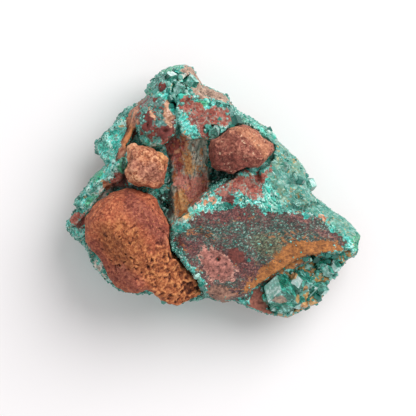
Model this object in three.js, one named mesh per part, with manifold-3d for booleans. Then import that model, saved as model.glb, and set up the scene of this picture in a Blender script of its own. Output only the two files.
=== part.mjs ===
// A dioptase specimen: teal copper silicate crystals on a broken piece of iron-stained rock.
// Millimetres, +Z up. It lies on its broken back with the crystal side upwards. The origin is
// the middle of the flat worn patch that it rests on, +X runs along its length towards the
// thin tip and +Y towards the peak.
//
// The rock is a lofted block with ledges and plates standing out of its top. Three lumps of
// rusty limonite sit in sockets in it, and larger crystals grow out of it in clusters.

import * as THREE from "three";
import { ConvexGeometry } from "three/addons/geometries/ConvexGeometry.js";
import { ImprovedNoise } from "three/addons/math/ImprovedNoise.js";
import { mergeVertices } from "three/addons/utils/BufferGeometryUtils.js";
import Module from "manifold-3d";

const wasm = await Module();
wasm.setup();

// ---------------------------------------------------------------- driving dimensions

const SEAT_GAP = 0.3; // between a lump or a crystal and the rock that holds it
const CRAG = 0.85; // roughness of broken rock
const CRAG_GRAIN = 5.5; // size of the bumps of that roughness
const GROUND_GRID = 3.6; // spacing of the points of the rock's own surface
const LEDGE_GRID = 3; // and of the tops of the ledges
const LEDGE_FOOT = 5; // height that every ledge reaches down to, inside the rock
const LEDGE_SPREAD = 0.06; // how much a ledge's wall spreads, per millimetre down
const LEDGE_RAG = 0.45; // how ragged a ledge's wall is
const LUMP_BUMP = 0.65; // height of the bumps on a lump
const LUMP_GRAIN = 3.4; // and their size

// Outline of the rock seen from above, clockwise from the peak.
const ROCK_OUTLINE = [
  [-11, 23.6], [-9.4, 24.6], [-7.4, 25], [-5.4, 25.1], [-4, 24.4], [-3.2, 23],
  [-2, 21.4], [-0.2, 20.6], [1.2, 19.8], [2.6, 19.4], [3.4, 18], [4.6, 16.6],
  [6.2, 15.2], [8, 14.2], [9.8, 13.4], [11.4, 12.2], [12.6, 10.4], [14.4, 8.8],
  [16.2, 7], [17.6, 5.4], [18.6, 4], [18.9, 1.2], [19.4, -0.4], [20.6, -1.6],
  [22.4, -2.6], [24, -4], [26, -5.2], [27.6, -6.6], [28.8, -8.2], [29.4, -9],
  [28.8, -10.4], [29, -11.8], [28.4, -13], [26.6, -14], [25.8, -15.2], [25, -16.4],
  [23.8, -17], [23.2, -18.6], [22.6, -19.8], [22.2, -21.2], [20.8, -22.6], [18.6, -23.4],
  [16.8, -24.4], [14.8, -25.2], [12.4, -25], [9.8, -24.4], [7.4, -23.4], [5.4, -22.4],
  [4.2, -21.6], [2.2, -22.2], [0, -21.6], [-1.4, -21.2], [-3.2, -21.9], [-5.2, -22],
  [-7.2, -22.6], [-9, -22.4], [-10.6, -21.4], [-11.8, -20.4], [-13.2, -20.4], [-15, -20.8],
  [-17, -20.4], [-19, -19.8], [-20.8, -18.4], [-22.4, -16.8], [-24, -15], [-24.8, -13.4],
  [-25.2, -11.6], [-26.6, -10.2], [-28, -9], [-29.4, -7.6], [-29.4, -6.6], [-28.2, -5.2],
  [-27.2, -3.6], [-27.2, -1.6], [-26, 0], [-24.4, 2.4], [-23.2, 3.8], [-21.4, 5.2],
  [-22.2, 6.6], [-23.6, 8.2], [-23.6, 9.6], [-22, 11.4], [-20.4, 12.8], [-19.2, 14.8],
  [-17.8, 16.2], [-16, 17], [-14.6, 18], [-13.4, 19], [-13, 20.4], [-12, 22],
];
const ROCK_CENTRE = [-0.6, 0.2];

// The rock's sides. Each level has the size of the outline there, how far it is rounded off
// towards a circle, and how rough it is. The outline above is the widest level.
const SIDES = [
  { height: 0, size: 0.52, round: 0.7, rough: 0 },
  { height: 0.7, size: 0.66, round: 0.6, rough: 1.2 },
  { height: 2.8, size: 0.84, round: 0.35, rough: 2 },
  { height: 5.4, size: 0.95, round: 0.1, rough: 1.4 },
  { height: 8.4, size: 1, round: 0, rough: 0 },
  { height: 14, size: 0.97, round: 0, rough: 0.6 },
  { height: 30, size: 0.8, round: 0, rough: 0 },
];

// Flat faces that the underside has broken along: a point on the plane and the way it faces.
const UNDERSIDE_BREAKS = [
  { at: [-19.5, -14, 3.2], facing: [-0.55, -0.6, -0.8] },
  { at: [-26.5, -5, 4], facing: [-0.8, 0.05, -0.6] },
  { at: [-20, 6.5, 3.2], facing: [-0.75, 0.3, -0.8] },
  { at: [-12.5, 17.5, 3.2], facing: [-0.5, 0.75, -0.9] },
  { at: [-6, 22.5, 4.2], facing: [0.1, 0.8, -0.6] },
  { at: [1.5, 16, 3.4], facing: [0.4, 0.8, -0.9] },
  { at: [11.5, 8.5, 3.4], facing: [0.7, 0.6, -0.9] },
  { at: [20, -1, 4.4], facing: [0.7, 0.6, -0.6] },
  { at: [27, -9.5, 4.2], facing: [0.75, 0.1, -0.5] },
  { at: [20, -18, 3.2], facing: [0.6, -0.55, -0.8] },
  { at: [10, -22, 2.4], facing: [0, -0.9, -0.8] },
  { at: [-3, -18.4, 2.6], facing: [-0.2, -0.9, -0.95] },
];

// Heights of the rock's own surface, under the ledges and lumps: [x, y, height].
const GROUND = [
  [-28, -7, 9.4], [-25, -1, 10], [-23, 8, 11], [-19, 15, 11], [-19, 6, 12.5], [-20, 11, 12],
  [-16, -10, 13], [-24, -12, 9], [-18, -18, 9.5], [-10, -18, 11], [-2, -20, 11],
  [-13, 4, 15.5], [-10, 13, 16], [-7, 21, 14], [-1, 18, 14], [3, 13, 15], [-4, 8, 14.5],
  [-4.5, 2, 13.5], [-6, -3, 12.2], [-8.5, -7, 11], [-9, 5, 11.5], [-10.5, -3, 10],
  [1.5, 3, 10.5], [6, 8.5, 17.5], [13, 6, 14], [17, 1, 12], [18, 4, 10.5], [8, -4, 15],
  [2, -10, 15], [12, -10, 14], [25, -9, 10.5], [3, -18, 12], [12, -16, 12],
  [12, -23, 9.4], [18, -20, 9.4], [24, -14, 9],
];

// Ledges and plates that stand out of the rock: outline from above, clockwise, and the planes
// that bound the top. A plane is the height over the origin and the rise along X and Y.
const LEDGES = {
  wing: {
    outline: [
      [-23.4, 8.4], [-22.8, 10], [-21.6, 11.4], [-20, 13], [-18.8, 14.9], [-17.4, 16.2],
      [-15.6, 17], [-15.2, 16], [-16, 13.8], [-17.2, 11], [-18.6, 8.4], [-20, 6.2],
      [-21.4, 5.6], [-22.4, 7],
    ],
    top: [[18.6, 0.2, -0.05], [27.5, 0.62, 0]],
  },
  left_flank: {
    outline: [
      [-25.8, -0.2], [-24, 2.4], [-21.2, 5], [-19, 6.8], [-17.2, 8.6], [-16.2, 6.2],
      [-17, 3.4], [-19, 2], [-21.4, 0.6], [-23.2, -1.6], [-25, -4.2], [-27.4, -6.6],
      [-29, -7.2], [-28, -4.8], [-27, -1.8],
    ],
    top: [[19.8, 0.3, 0.12]],
  },
  seam_blade: {
    outline: [
      [-15.4, 17], [-14.2, 17.6], [-14.6, 14.6], [-15.8, 12.2], [-17.2, 9.6], [-19.2, 7.2],
      [-18.4, 9.4], [-16.8, 12.4],
    ],
    top: [[25, 0.55, 0.02]],
  },
  left_lobe: {
    outline: [
      [-14.4, 17.4], [-13, 19], [-12, 20], [-10.8, 19.4], [-9.4, 18], [-8.2, 17],
      [-7.4, 15.6], [-7.2, 13.2], [-7.8, 11.2], [-9.2, 9.9], [-11, 9], [-12.6, 8.8],
      [-14, 9.7], [-14.9, 11.6], [-15.2, 14.4],
    ],
    top: [[24.6, 0.3, -0.08], [19.2, 0.4, 0.45], [17, -0.35, 0]],
  },
  peak_cap: {
    outline: [
      [-11.8, 21.8], [-10.8, 23.3], [-9.2, 24.4], [-7.4, 24.8], [-5.4, 24.8], [-4.2, 24],
      [-4.3, 22], [-3.6, 20.4], [-2.6, 18.8], [-4.6, 18.2], [-7, 18.4], [-9, 18.2],
      [-11, 18.8], [-12.6, 19.8],
    ],
    top: [[32.8, 0.14, -0.62], [21.6, 0.2, 0]],
  },
  rosette_plate: {
    outline: [
      [-6.8, 18.6], [-4.2, 19], [-2, 18.6], [0.4, 18.4], [2.8, 17.9], [4.6, 16.4],
      [6.2, 14.9], [7, 13.8], [5.2, 12.6], [2.6, 11.9], [1.2, 11], [-0.6, 10.2],
      [-2.6, 10.7], [-4.6, 10.6], [-6.2, 11.4], [-7, 13.8], [-7.2, 16.2],
    ],
    top: [[22.4, -0.28, -0.2], [23.6, 0.3, -0.1]],
  },
  grey_ridge: {
    outline: [
      [-5.4, 23.7], [-4.4, 24.1], [-3.4, 23.2], [-2.4, 21.8], [-1, 20.8], [0.8, 20.1],
      [2.6, 19.3], [3.6, 17.7], [2.6, 17.8], [0.6, 18.2], [-2, 18.4], [-3.2, 19.3],
      [-4.2, 21], [-5, 22.6],
    ],
    top: [[30, -0.25, -0.72]],
  },
  right_slope: {
    outline: [
      [5, 16], [6.6, 14.8], [9.6, 13.3], [11.2, 12.1], [12.4, 10.2], [14.2, 8.6], [16, 6.8],
      [17.4, 5.2], [18.4, 3.9], [18.7, 1.2], [19.2, -0.5], [20.4, -1.8], [17, -3.2],
      [13, -3], [9.4, -1.2], [9.6, 4], [12.2, 6.2], [12.4, 9], [9.9, 11], [7.6, 13],
    ],
    top: [[30, -0.78, -0.52], [18.5, -0.1, 0]],
  },
  slab: {
    outline: [
      [-8.2, -6.6], [-6.2, -5.6], [-4.6, -4.4], [-3.8, -3], [-2.8, -1.6], [-0.6, 0],
      [1.8, 2], [4.6, 3.8], [6.2, 4.4], [8.6, 3.2], [10.6, 3], [12.4, 0.6],
      [15.4, -1.6], [18.6, -2.6], [21.4, -3], [23.8, -4.6], [26, -6.2], [28, -8.4],
      [28.9, -10.2], [28, -11.2], [26.4, -11.6], [23, -12], [19.6, -12.4], [17, -13.4],
      [14, -15], [11, -17], [8.6, -19], [6.6, -20.8], [4.6, -21.6], [1.8, -21.7],
      [-0.6, -21.2], [-2, -19.6], [-2.8, -17.6], [-4.6, -15.4], [-6, -14], [-7, -12.8],
      [-8.6, -11.4], [-9, -9.8], [-8.6, -8],
    ],
    top: [[22.2, -0.18, 0.29], [23.7, -0.62, -0.7], [24.3, 0.6, 0], [20.5, -0.2, -0.05]],
  },
  ochre_step: {
    outline: [
      [28, -11.2], [24.6, -12.4], [21, -13.2], [18, -14.6], [15, -16], [11.4, -17.6],
      [8.6, -19.2], [6.2, -20.6], [6.2, -19], [8.6, -16], [11, -13.4], [13.6, -11.4],
      [16.4, -9.8], [20, -10], [23, -11], [26.4, -11.8],
    ],
    top: [[20.6, -0.08, 0.4]],
  },
  brown_facet: {
    outline: [
      [6.4, -21.8], [7.6, -19.6], [9.4, -18.8], [10.4, -19.8], [11.2, -21.8], [12.8, -23.8],
      [11.8, -24.7], [9.6, -24.3], [7.4, -23.3],
    ],
    top: [[18.4, -0.12, 0.26]],
  },
  crystal_bed: {
    outline: [
      [10.4, -18.6], [16, -16], [20, -14.2], [24, -12.8], [28.4, -11.8], [28.8, -12.8],
      [26.4, -14.1], [25.2, -16.2], [23.7, -17], [23, -18.8], [22.2, -21], [20.8, -22.4],
      [18.4, -23.3], [14.8, -24.9], [12.4, -24.8], [11.6, -21.4],
    ],
    top: [[12.6, -0.04, 0.07]],
  },
};

// Hollows cut into the rock: middle, radii and the height of the floor.
const HOLLOWS = {
  pocket_under_lump: { centre: [1.9, 3.2], radii: [2.9, 1.5], floor: 9.5 },
  pocket_in_valley: { centre: [-9.4, -2.6], radii: [1.5, 2.8], floor: 8.4 },
  pocket_by_flank: { centre: [-19.4, 0.2], radii: [2.4, 1.1], floor: 10 },
  long_vug: { centre: [23.4, -13.6], radii: [2, 1], floor: 8.2 },
  short_vug: { centre: [19.8, -13.2], radii: [1.2, 0.8], floor: 9 },
  lobe_socket_left: { centre: [-12.9, 13], radii: [1.5, 2.3], floor: 17.8 },
  lobe_socket_right: { centre: [-9.5, 11.8], radii: [1.9, 1.2], floor: 18 },
  lobe_socket_top: { centre: [-10, 20], radii: [1, 0.9], floor: 18.2 },
  slab_hole: { centre: [0.9, -13.6], radii: [0.9, 0.8], floor: 14.5 },
  slab_cavity: { centre: [2.9, -1.9], radii: [1.6, 1.4], floor: 19.2 },
};

// The limonite lumps: outline from above, middle, underside and crown, and the planes they
// have broken along: a point on the plane and the way it faces.
const LUMPS = {
  porous_nodule: {
    outline: [
      [-17, 0.7], [-14.8, 0.1], [-12.4, -0.4], [-11.4, -1.4], [-11, -3], [-9.8, -4.8],
      [-8.7, -7], [-9.3, -9.4], [-8.8, -11.9], [-7.2, -13.4], [-5.6, -15.2], [-3.6, -17.4],
      [-1.6, -20.6], [-3, -21.4], [-5.2, -22], [-7.2, -22.8], [-9, -22.6], [-10.6, -21.2],
      [-11.8, -19.8], [-13.2, -19.3], [-14.8, -20.2], [-17, -20], [-19, -19.2], [-20.4, -17.4],
      [-21.6, -14.8], [-22.6, -13], [-24.2, -11.4], [-25.2, -9.8], [-25.4, -7.4], [-25.4, -5.2],
      [-24, -3.2], [-22, -1.4], [-19.8, -0.2],
    ],
    centre: [-14.6, -10.6],
    underside: 8.6,
    crown: 24,
    breaks: [
      { at: [-15.5, -8, 23], facing: [-0.1, 0.05, 1] },
      { at: [-18, -4, 22], facing: [-0.3, 0.6, 1] },
      { at: [-11, -14.5, 21], facing: [0.35, -0.45, 1] },
      { at: [-5, -19, 16.4], facing: [0.5, -0.3, 1] },
      { at: [-21, -13, 19.4], facing: [-0.75, -0.5, 1] },
    ],
    color: 0xa35b44,
  },
  knobby_nodule: {
    outline: [
      [-16.7, 8.6], [-15.5, 9.2], [-14, 8.4], [-12, 8.1], [-10, 7.3], [-8.9, 6.5],
      [-9.2, 4], [-9.5, 1.2], [-10.8, 0.2], [-13.2, 0.4], [-14.8, 0.8], [-16.8, 1.8],
      [-17.3, 4], [-16.8, 6],
    ],
    centre: [-13.1, 4.5],
    underside: 13.6,
    crown: 22.8,
    breaks: [
      { at: [-13, 6, 21.8], facing: [-0.1, 0.35, 1] },
      { at: [-11, 2, 20.4], facing: [0.5, -0.5, 1] },
    ],
    color: 0xc98a66,
  },
  angular_nodule: {
    outline: [
      [-0.5, 10], [1, 10.5], [3, 12.2], [6, 13.1], [8.3, 12], [9.7, 10.6], [12.1, 9.2],
      [12.3, 8], [10.6, 6], [8.9, 4.5], [6.6, 4.9], [3.8, 3.4], [1, 4.2], [-0.4, 4.9],
      [-0.9, 7.2],
    ],
    centre: [5.4, 8],
    underside: 14.6,
    crown: 26,
    breaks: [
      { at: [4, 8.4, 24.7], facing: [-0.22, 0.1, 1] },
      { at: [9, 9.4, 22.6], facing: [0.45, 0.3, 1] },
      { at: [5, 5.6, 23.2], facing: [0.05, -0.7, 1] },
    ],
    color: 0x8f5143,
  },
};

// Crystals: root, the way they point, radius, length from the root, and turn about the axis.
const CLUSTERS = {
  corner_crystals: [
    { root: [12.9, -20.7, 8.2], axis: [0.08, 0.12, 1], radius: 2.9, length: 8.2, turn: 12 },
    { root: [15.8, -18.9, 8.4], axis: [0.34, 0.2, 1], radius: 1.7, length: 6.4, turn: 40 },
    { root: [15.9, -21.4, 8.2], axis: [0.3, -0.2, 1], radius: 1.6, length: 5.4, turn: 5 },
    { root: [18.5, -19.4, 8], axis: [0.05, 0.25, 1], radius: 1.2, length: 5.4, turn: 22 },
    { root: [18.2, -22, 8.6], axis: [0.75, 0.8, 0.5], radius: 1.15, length: 5.4, turn: 50 },
    { root: [20.9, -19, 8], axis: [0.3, -0.2, 1], radius: 1.2, length: 4.8, turn: 30 },
    { root: [17.3, -17.3, 8.2], axis: [0.02, 0.12, 1], radius: 1.2, length: 5.2, turn: 0 },
    { root: [12.4, -22.8, 8.6], axis: [-0.05, -0.1, 1], radius: 1.1, length: 3.6, turn: 18 },
    { root: [15, -23.1, 8.6], axis: [0.1, -0.1, 1], radius: 1.1, length: 3.2, turn: 48 },
  ],
  vug_crystals: [
    { root: [22.8, -15.7, 8.4], axis: [0.05, -0.1, 1], radius: 1.3, length: 4.2, turn: 10 },
    { root: [24.3, -15, 8.6], axis: [0.1, -0.05, 1], radius: 1.1, length: 3.8, turn: 35 },
    { root: [21.3, -15.2, 8.2], axis: [0.1, 0.2, 1], radius: 1, length: 4.2, turn: 20 },
  ],
  edge_crystal: [
    { root: [16.8, 1.3, 10], axis: [1, -0.06, 0.1], radius: 1.5, length: 4, turn: 15 },
  ],
  rosette_crystal: [
    { root: [0.4, 12, 18.4], axis: [-0.1, -0.2, 1], radius: 1.1, length: 4.2, turn: 0 },
  ],
  peak_crystals: [
    { root: [-6.9, 20.3, 16.6], axis: [0.1, -0.2, 1], radius: 1.4, length: 4.6, turn: 10 },
    { root: [-5.2, 21.2, 16], axis: [0.4, 0.1, 1], radius: 1.3, length: 4.2, turn: 30 },
    { root: [-8, 22.2, 15], axis: [-0.05, 0.1, 1], radius: 1.2, length: 4.2, turn: 55 },
  ],
};

// Bands of small crystals on the teal parts: a line along the rock, the width of the band, how
// many crystals stand on it, and their radius.
const DRUSE_BANDS = {
  wing: { line: [[-22, 8.4], [-19.6, 11.6], [-16.8, 15]], width: 3, count: 8, radius: 0.95 },
  left_flank: { line: [[-18, 6], [-23.4, 0.6], [-27.2, -5]], width: 1.8, count: 6, radius: 0.85 },
  right_slope: { line: [[9.8, 12], [14.4, 6], [16.6, -0.6]], width: 3, count: 6, radius: 1 },
  slab_crest: { line: [[13, -2.6], [20, -5], [27, -9.6]], width: 2, count: 6, radius: 0.85 },
  slab_rim: { line: [[-2.4, -2], [1.6, 1.4], [5.6, 3.4]], width: 0.7, count: 3, radius: 0.6 },
  peak: { line: [[-10.6, 20.6], [-6.6, 19], [-6.8, 15.4]], width: 2.2, count: 4, radius: 0.8 },
};
const DRUSE_STAND = 0.6; // how far a small crystal stands proud, as a share of its radius

// ---------------------------------------------------------------- solids and shapes

const noise = new ImprovedNoise();

// Bumps of broken rock at a point, about -1 to 1: broad swells and sharper ridges.
function crag(x, y, z, grain = CRAG_GRAIN) {
  const [u, v, w] = [x / grain + 3.1, y / grain + 7.7, z / grain + 0.4];
  const ridge = 1 - 2 * Math.abs(noise.noise(2.3 * u, 2.3 * v, 2.3 * w));
  return noise.noise(u, v, w) + 0.5 * (ridge - 0.5);
}

function bareGeometry(points, triangles) {
  const geometry = new THREE.BufferGeometry();
  geometry.setAttribute("position", new THREE.Float32BufferAttribute(points.flat(), 3));
  geometry.setIndex(triangles.flat());
  return geometry;
}

function toSolid(geometry) {
  geometry.deleteAttribute("normal");
  geometry.deleteAttribute("uv");
  const merged = mergeVertices(geometry, 1e-4);
  return new wasm.Manifold(
    new wasm.Mesh({
      numProp: 3,
      vertProperties: merged.attributes.position.array,
      triVerts: new Uint32Array(merged.index.array),
    }),
  );
}

function toGeometry(solid) {
  const mesh = solid.getMesh();
  const geometry = new THREE.BufferGeometry();
  geometry.setAttribute("position", new THREE.BufferAttribute(mesh.vertProperties, 3));
  geometry.setIndex(new THREE.BufferAttribute(mesh.triVerts, 1));
  geometry.computeVertexNormals();
  return geometry;
}

function joined(solids) {
  return solids.reduce((whole, solid) => whole.add(solid));
}

// Moves every point of a surface out along its normal.
function grown(geometry, distance) {
  const wider = geometry.clone();
  wider.computeVertexNormals();
  const { position, normal } = wider.attributes;
  for (let i = 0; i < position.count; i++) {
    position.setXYZ(
      i,
      position.getX(i) + distance * normal.getX(i),
      position.getY(i) + distance * normal.getY(i),
      position.getZ(i) + distance * normal.getZ(i),
    );
  }
  return wider;
}

// The outline drawn to a size about its middle and rounded off towards a circle. It comes out
// anticlockwise, as skin() takes it.
function scaledRing(outline, [cx, cy], size, round) {
  const reach = outline.map(([x, y]) => Math.hypot(x - cx, y - cy));
  const mean = reach.reduce((sum, length) => sum + length) / reach.length;
  const ring = outline.map(([x, y], i) => {
    const share = (size * THREE.MathUtils.lerp(reach[i], mean, round)) / reach[i];
    return [cx + share * (x - cx), cy + share * (y - cy)];
  });
  return ring.reverse();
}

// Everything beyond the broken faces, to be taken off.
function beyond(breaks) {
  const size = 60;
  const blocks = breaks.map(({ at, facing }) => {
    const way = new THREE.Vector3(...facing).normalize();
    const block = new THREE.BoxGeometry(size, size, size);
    block.applyQuaternion(new THREE.Quaternion().setFromUnitVectors(new THREE.Vector3(0, 0, 1), way));
    way.multiplyScalar(size / 2).add(new THREE.Vector3(...at));
    block.translate(way.x, way.y, way.z);
    return toSolid(block);
  });
  return joined(blocks);
}

// A closed skin through rings of points that run anticlockwise from above, lowest ring first,
// closed at each end with a fan about the ring's middle.
function skin(rings) {
  const count = rings[0].length;
  const points = rings.flat();
  const middle = (ring) => [0, 1, 2].map((k) => ring.reduce((sum, p) => sum + p[k], 0) / count);
  const low = points.push(middle(rings[0])) - 1;
  const high = points.push(middle(rings[rings.length - 1])) - 1;
  const last = (rings.length - 1) * count;
  const triangles = [];
  for (let i = 0; i < count; i++) {
    const next = (i + 1) % count;
    triangles.push([low, next, i]);
    triangles.push([high, last + i, last + next]);
    for (let row = 0; row < last; row += count) {
      triangles.push([row + i, row + next, row + count + next]);
      triangles.push([row + i, row + count + next, row + count + i]);
    }
  }
  return bareGeometry(points, triangles);
}

// A block over a rectangle, with a rough top on a grid of points.
function reliefBlock([minX, minY, maxX, maxY], floor, grid, heightAt) {
  const columns = Math.ceil((maxX - minX) / grid) + 1;
  const rows = Math.ceil((maxY - minY) / grid) + 1;
  const points = [];
  for (let j = 0; j < rows; j++) {
    for (let i = 0; i < columns; i++) {
      const x = minX + i * grid;
      const y = minY + (j + (i % 2) / 2) * grid;
      points.push([x, y, heightAt(x, y)]);
    }
  }
  const under = points.length;
  points.push(...points.map(([x, y]) => [x, y, floor]));
  const triangles = [];
  const quad = (a, b, c, d) => triangles.push([a, b, c], [a, c, d]);
  for (let j = 0; j < rows - 1; j++) {
    for (let i = 0; i < columns - 1; i++) {
      const a = j * columns + i;
      const b = a + 1;
      const c = b + columns;
      const d = a + columns;
      if (i % 2) quad(b, c, d, a);
      else quad(a, b, c, d);
      if (i % 2) quad(under + b, under + a, under + d, under + c);
      else quad(under + a, under + d, under + c, under + b);
    }
  }
  for (let i = 0; i < columns - 1; i++) {
    quad(under + i, under + i + 1, i + 1, i);
    const far = (rows - 1) * columns + i;
    quad(far, far + 1, under + far + 1, under + far);
  }
  for (let j = 0; j < rows - 1; j++) {
    const left = j * columns;
    const right = left + columns - 1;
    quad(left, left + columns, under + left + columns, under + left);
    quad(under + right, under + right + columns, right + columns, right);
  }
  return toSolid(bareGeometry(points, triangles));
}

// ---------------------------------------------------------------- the rock

// Height of the rock's own surface, a blend of the GROUND heights around the point.
function groundHeight(x, y) {
  let sum = 0;
  let weights = 0;
  for (const [gx, gy, height] of GROUND) {
    const weight = ((x - gx) ** 2 + (y - gy) ** 2 + 0.6) ** -1.6;
    sum += weight * height;
    weights += weight;
  }
  return sum / weights;
}

// The sides of the rock, from the flat base patch up past its highest point.
function sideShell() {
  const rings = SIDES.map(({ height, size, round, rough }) =>
    scaledRing(ROCK_OUTLINE, ROCK_CENTRE, size, round).map(([x, y]) => {
      const away = new THREE.Vector2(x - ROCK_CENTRE[0], y - ROCK_CENTRE[1]);
      away.setLength(away.length() + rough * crag(x, y, height));
      return [ROCK_CENTRE[0] + away.x, ROCK_CENTRE[1] + away.y, height];
    }),
  );
  return toSolid(skin(rings)).subtract(beyond(UNDERSIDE_BREAKS));
}

// A ledge: ragged walls that spread towards the foot, under a rough top.
function ledge({ outline, top }) {
  const heightAt = (x, y) => Math.min(...top.map(([over, riseX, riseY]) => over + riseX * x + riseY * y));
  const highest = Math.max(...outline.map(([x, y]) => heightAt(x, y))) + 2;
  const rings = [];
  const levels = 3;
  for (let level = 0; level <= levels; level++) {
    const z = THREE.MathUtils.lerp(LEDGE_FOOT, highest, level / levels);
    const ring = outline.map(([x, y], i) => {
      const before = outline[(i + outline.length - 1) % outline.length];
      const after = outline[(i + 1) % outline.length];
      const out = new THREE.Vector2(before[1] - after[1], after[0] - before[0]).normalize();
      const spread = LEDGE_SPREAD * (heightAt(x, y) - z) + LEDGE_RAG * crag(x, y, z, 3);
      return [x + out.x * spread, y + out.y * spread, z];
    });
    rings.push(ring.reverse());
  }
  const walls = toSolid(skin(rings));
  const xs = outline.map(([x]) => x);
  const ys = outline.map(([, y]) => y);
  const area = [Math.min(...xs) - 3, Math.min(...ys) - 3, Math.max(...xs) + 3, Math.max(...ys) + 3];
  const roughTop = (x, y) => heightAt(x, y) + CRAG * crag(x, y, 11);
  return walls.intersect(reliefBlock(area, 0, LEDGE_GRID, roughTop));
}

// A hollow is cut with a tall egg, open upwards.
function hollow({ centre, radii, floor }) {
  const depth = 14;
  const egg = new THREE.IcosahedronGeometry(1, 1);
  egg.scale(radii[0], radii[1], depth);
  egg.translate(centre[0], centre[1], floor + depth);
  return toSolid(egg);
}

// ---------------------------------------------------------------- the limonite lumps

// A lump is its outline rounded over the top and under the bottom, and roughened.
function lumpSkin({ outline, centre, underside, crown }) {
  const middle = underside + 0.45 * (crown - underside);
  const rings = [];
  const steps = 8;
  for (let i = 0; i <= steps; i++) {
    const angle = THREE.MathUtils.lerp(-0.46, 0.46, i / steps) * Math.PI;
    const rise = Math.sin(angle);
    const level = middle + rise * (rise < 0 ? middle - underside : crown - middle);
    const ring = scaledRing(outline, centre, Math.cos(angle) ** 0.55, 0.7 * rise ** 2);
    rings.push(
      ring.map(([x, y]) => {
        const bump = LUMP_BUMP * crag(x, y, level, LUMP_GRAIN);
        return [x + 0.5 * bump * Math.cos(angle), y, level + bump];
      }),
    );
  }
  return skin(rings);
}

// ---------------------------------------------------------------- the crystals

// A dioptase crystal: a six-sided prism closed by three rhombic faces. Each rhomb falls from
// the tip to a low corner, between two corners half as far down.
const RHOMB_DROP = 0.62; // drop from the tip to a high corner, as a share of the radius
function crystal({ root, axis, radius, length, turn }, grow = 0) {
  const r = radius + grow;
  const tip = length + grow;
  const points = [new THREE.Vector3(0, 0, tip)];
  for (let i = 0; i < 6; i++) {
    const angle = (i * Math.PI) / 3;
    const corner = tip - (i % 2 ? 2 : 1) * RHOMB_DROP * r;
    points.push(new THREE.Vector3(r * Math.cos(angle), r * Math.sin(angle), corner));
    points.push(new THREE.Vector3(r * Math.cos(angle), r * Math.sin(angle), -grow));
  }
  const way = new THREE.Vector3(...axis).normalize();
  const stand = new THREE.Quaternion().setFromUnitVectors(new THREE.Vector3(0, 0, 1), way);
  const twist = new THREE.Quaternion().setFromAxisAngle(way, THREE.MathUtils.degToRad(turn));
  const place = new THREE.Matrix4().compose(
    new THREE.Vector3(...root),
    twist.multiply(stand),
    new THREE.Vector3(1, 1, 1),
  );
  return toSolid(new ConvexGeometry(points.map((point) => point.applyMatrix4(place))));
}

// Small crystals scattered along the bands, each rooted in the rock and standing out of it.
function druse(rock) {
  const random = THREE.MathUtils.seededRandom;
  random(7);
  const look = new THREE.MeshBasicMaterial({ side: THREE.DoubleSide });
  const surface = new THREE.Mesh(toGeometry(rock), look);
  const caster = new THREE.Raycaster();
  const crystals = [];
  for (const { line, width, count, radius } of Object.values(DRUSE_BANDS)) {
    const route = new THREE.CatmullRomCurve3(line.map(([x, y]) => new THREE.Vector3(x, y, 0)));
    for (let i = 0; i < count; i++) {
      const spot = route.getPoint((i + random()) / count);
      spot.x += width * (random() - 0.5);
      spot.y += width * (random() - 0.5);
      caster.set(new THREE.Vector3(spot.x, spot.y, 60), new THREE.Vector3(0, 0, -1));
      const [hit] = caster.intersectObject(surface);
      if (!hit) continue;
      const size = radius * (0.7 + 0.6 * random());
      const out = hit.face.normal.clone();
      out.x += 0.8 * (random() - 0.5);
      out.y += 0.8 * (random() - 0.5);
      out.z += 0.3;
      out.normalize();
      const length = 3 * size;
      const root = hit.point.clone().addScaledVector(out, DRUSE_STAND * size - length + 0.6 * size);
      crystals.push(
        crystal({ root: root.toArray(), axis: out.toArray(), radius: size, length, turn: 360 * random() }),
      );
    }
  }
  return joined(crystals);
}

// ---------------------------------------------------------------- putting it together

const lumps = {};
const sockets = {};
for (const [name, shape] of Object.entries(LUMPS)) {
  lumps[name] = toSolid(lumpSkin(shape)).subtract(beyond(shape.breaks));
  sockets[name] = toSolid(grown(lumpSkin(shape), SEAT_GAP));
}
// The knobby lump leans on the edge of the porous one, which makes room for it.
lumps.porous_nodule = lumps.porous_nodule.subtract(sockets.knobby_nodule);

const clusters = {};
const roots = {};
for (const [name, crystals] of Object.entries(CLUSTERS)) {
  clusters[name] = joined(crystals.map((shape) => crystal(shape)));
  roots[name] = joined(crystals.map((shape) => crystal(shape, SEAT_GAP)));
}

const roughGround = (x, y) => groundHeight(x, y) + CRAG * crag(x, y, 20);
const ground = reliefBlock([-32, -29, 32, 28], -1, GROUND_GRID, roughGround);
const blocks = joined([ground, ...Object.values(LEDGES).map(ledge)]).intersect(sideShell());
const broken = blocks.subtract(joined(Object.values(HOLLOWS).map(hollow)));
const rock = broken
  .add(druse(broken))
  .subtract(joined(Object.values(sockets)))
  .subtract(joined(Object.values(roots)));
const bodies = rock.decompose().sort((a, b) => b.volume() - a.volume());

const ROCK_LOOK = { color: 0x6f8f84, roughness: 0.75, metalness: 0 };
const LUMP_ROUGHNESS = 0.9;
const CRYSTAL_LOOK = { color: 0x2f9c86, roughness: 0.15, metalness: 0, transparent: true, opacity: 0.85 };

const specimen = new THREE.Group();
function addPiece(name, solid, look) {
  const mesh = new THREE.Mesh(toGeometry(solid), new THREE.MeshStandardMaterial(look));
  mesh.name = name;
  specimen.add(mesh);
}
addPiece("matrix_rock", bodies[0], ROCK_LOOK);
for (const [name, solid] of Object.entries(lumps)) {
  addPiece(name, solid, { color: LUMPS[name].color, roughness: LUMP_ROUGHNESS, metalness: 0 });
}
for (const [name, solid] of Object.entries(clusters)) {
  addPiece(name, solid, CRYSTAL_LOOK);
}

export default specimen;
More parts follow.
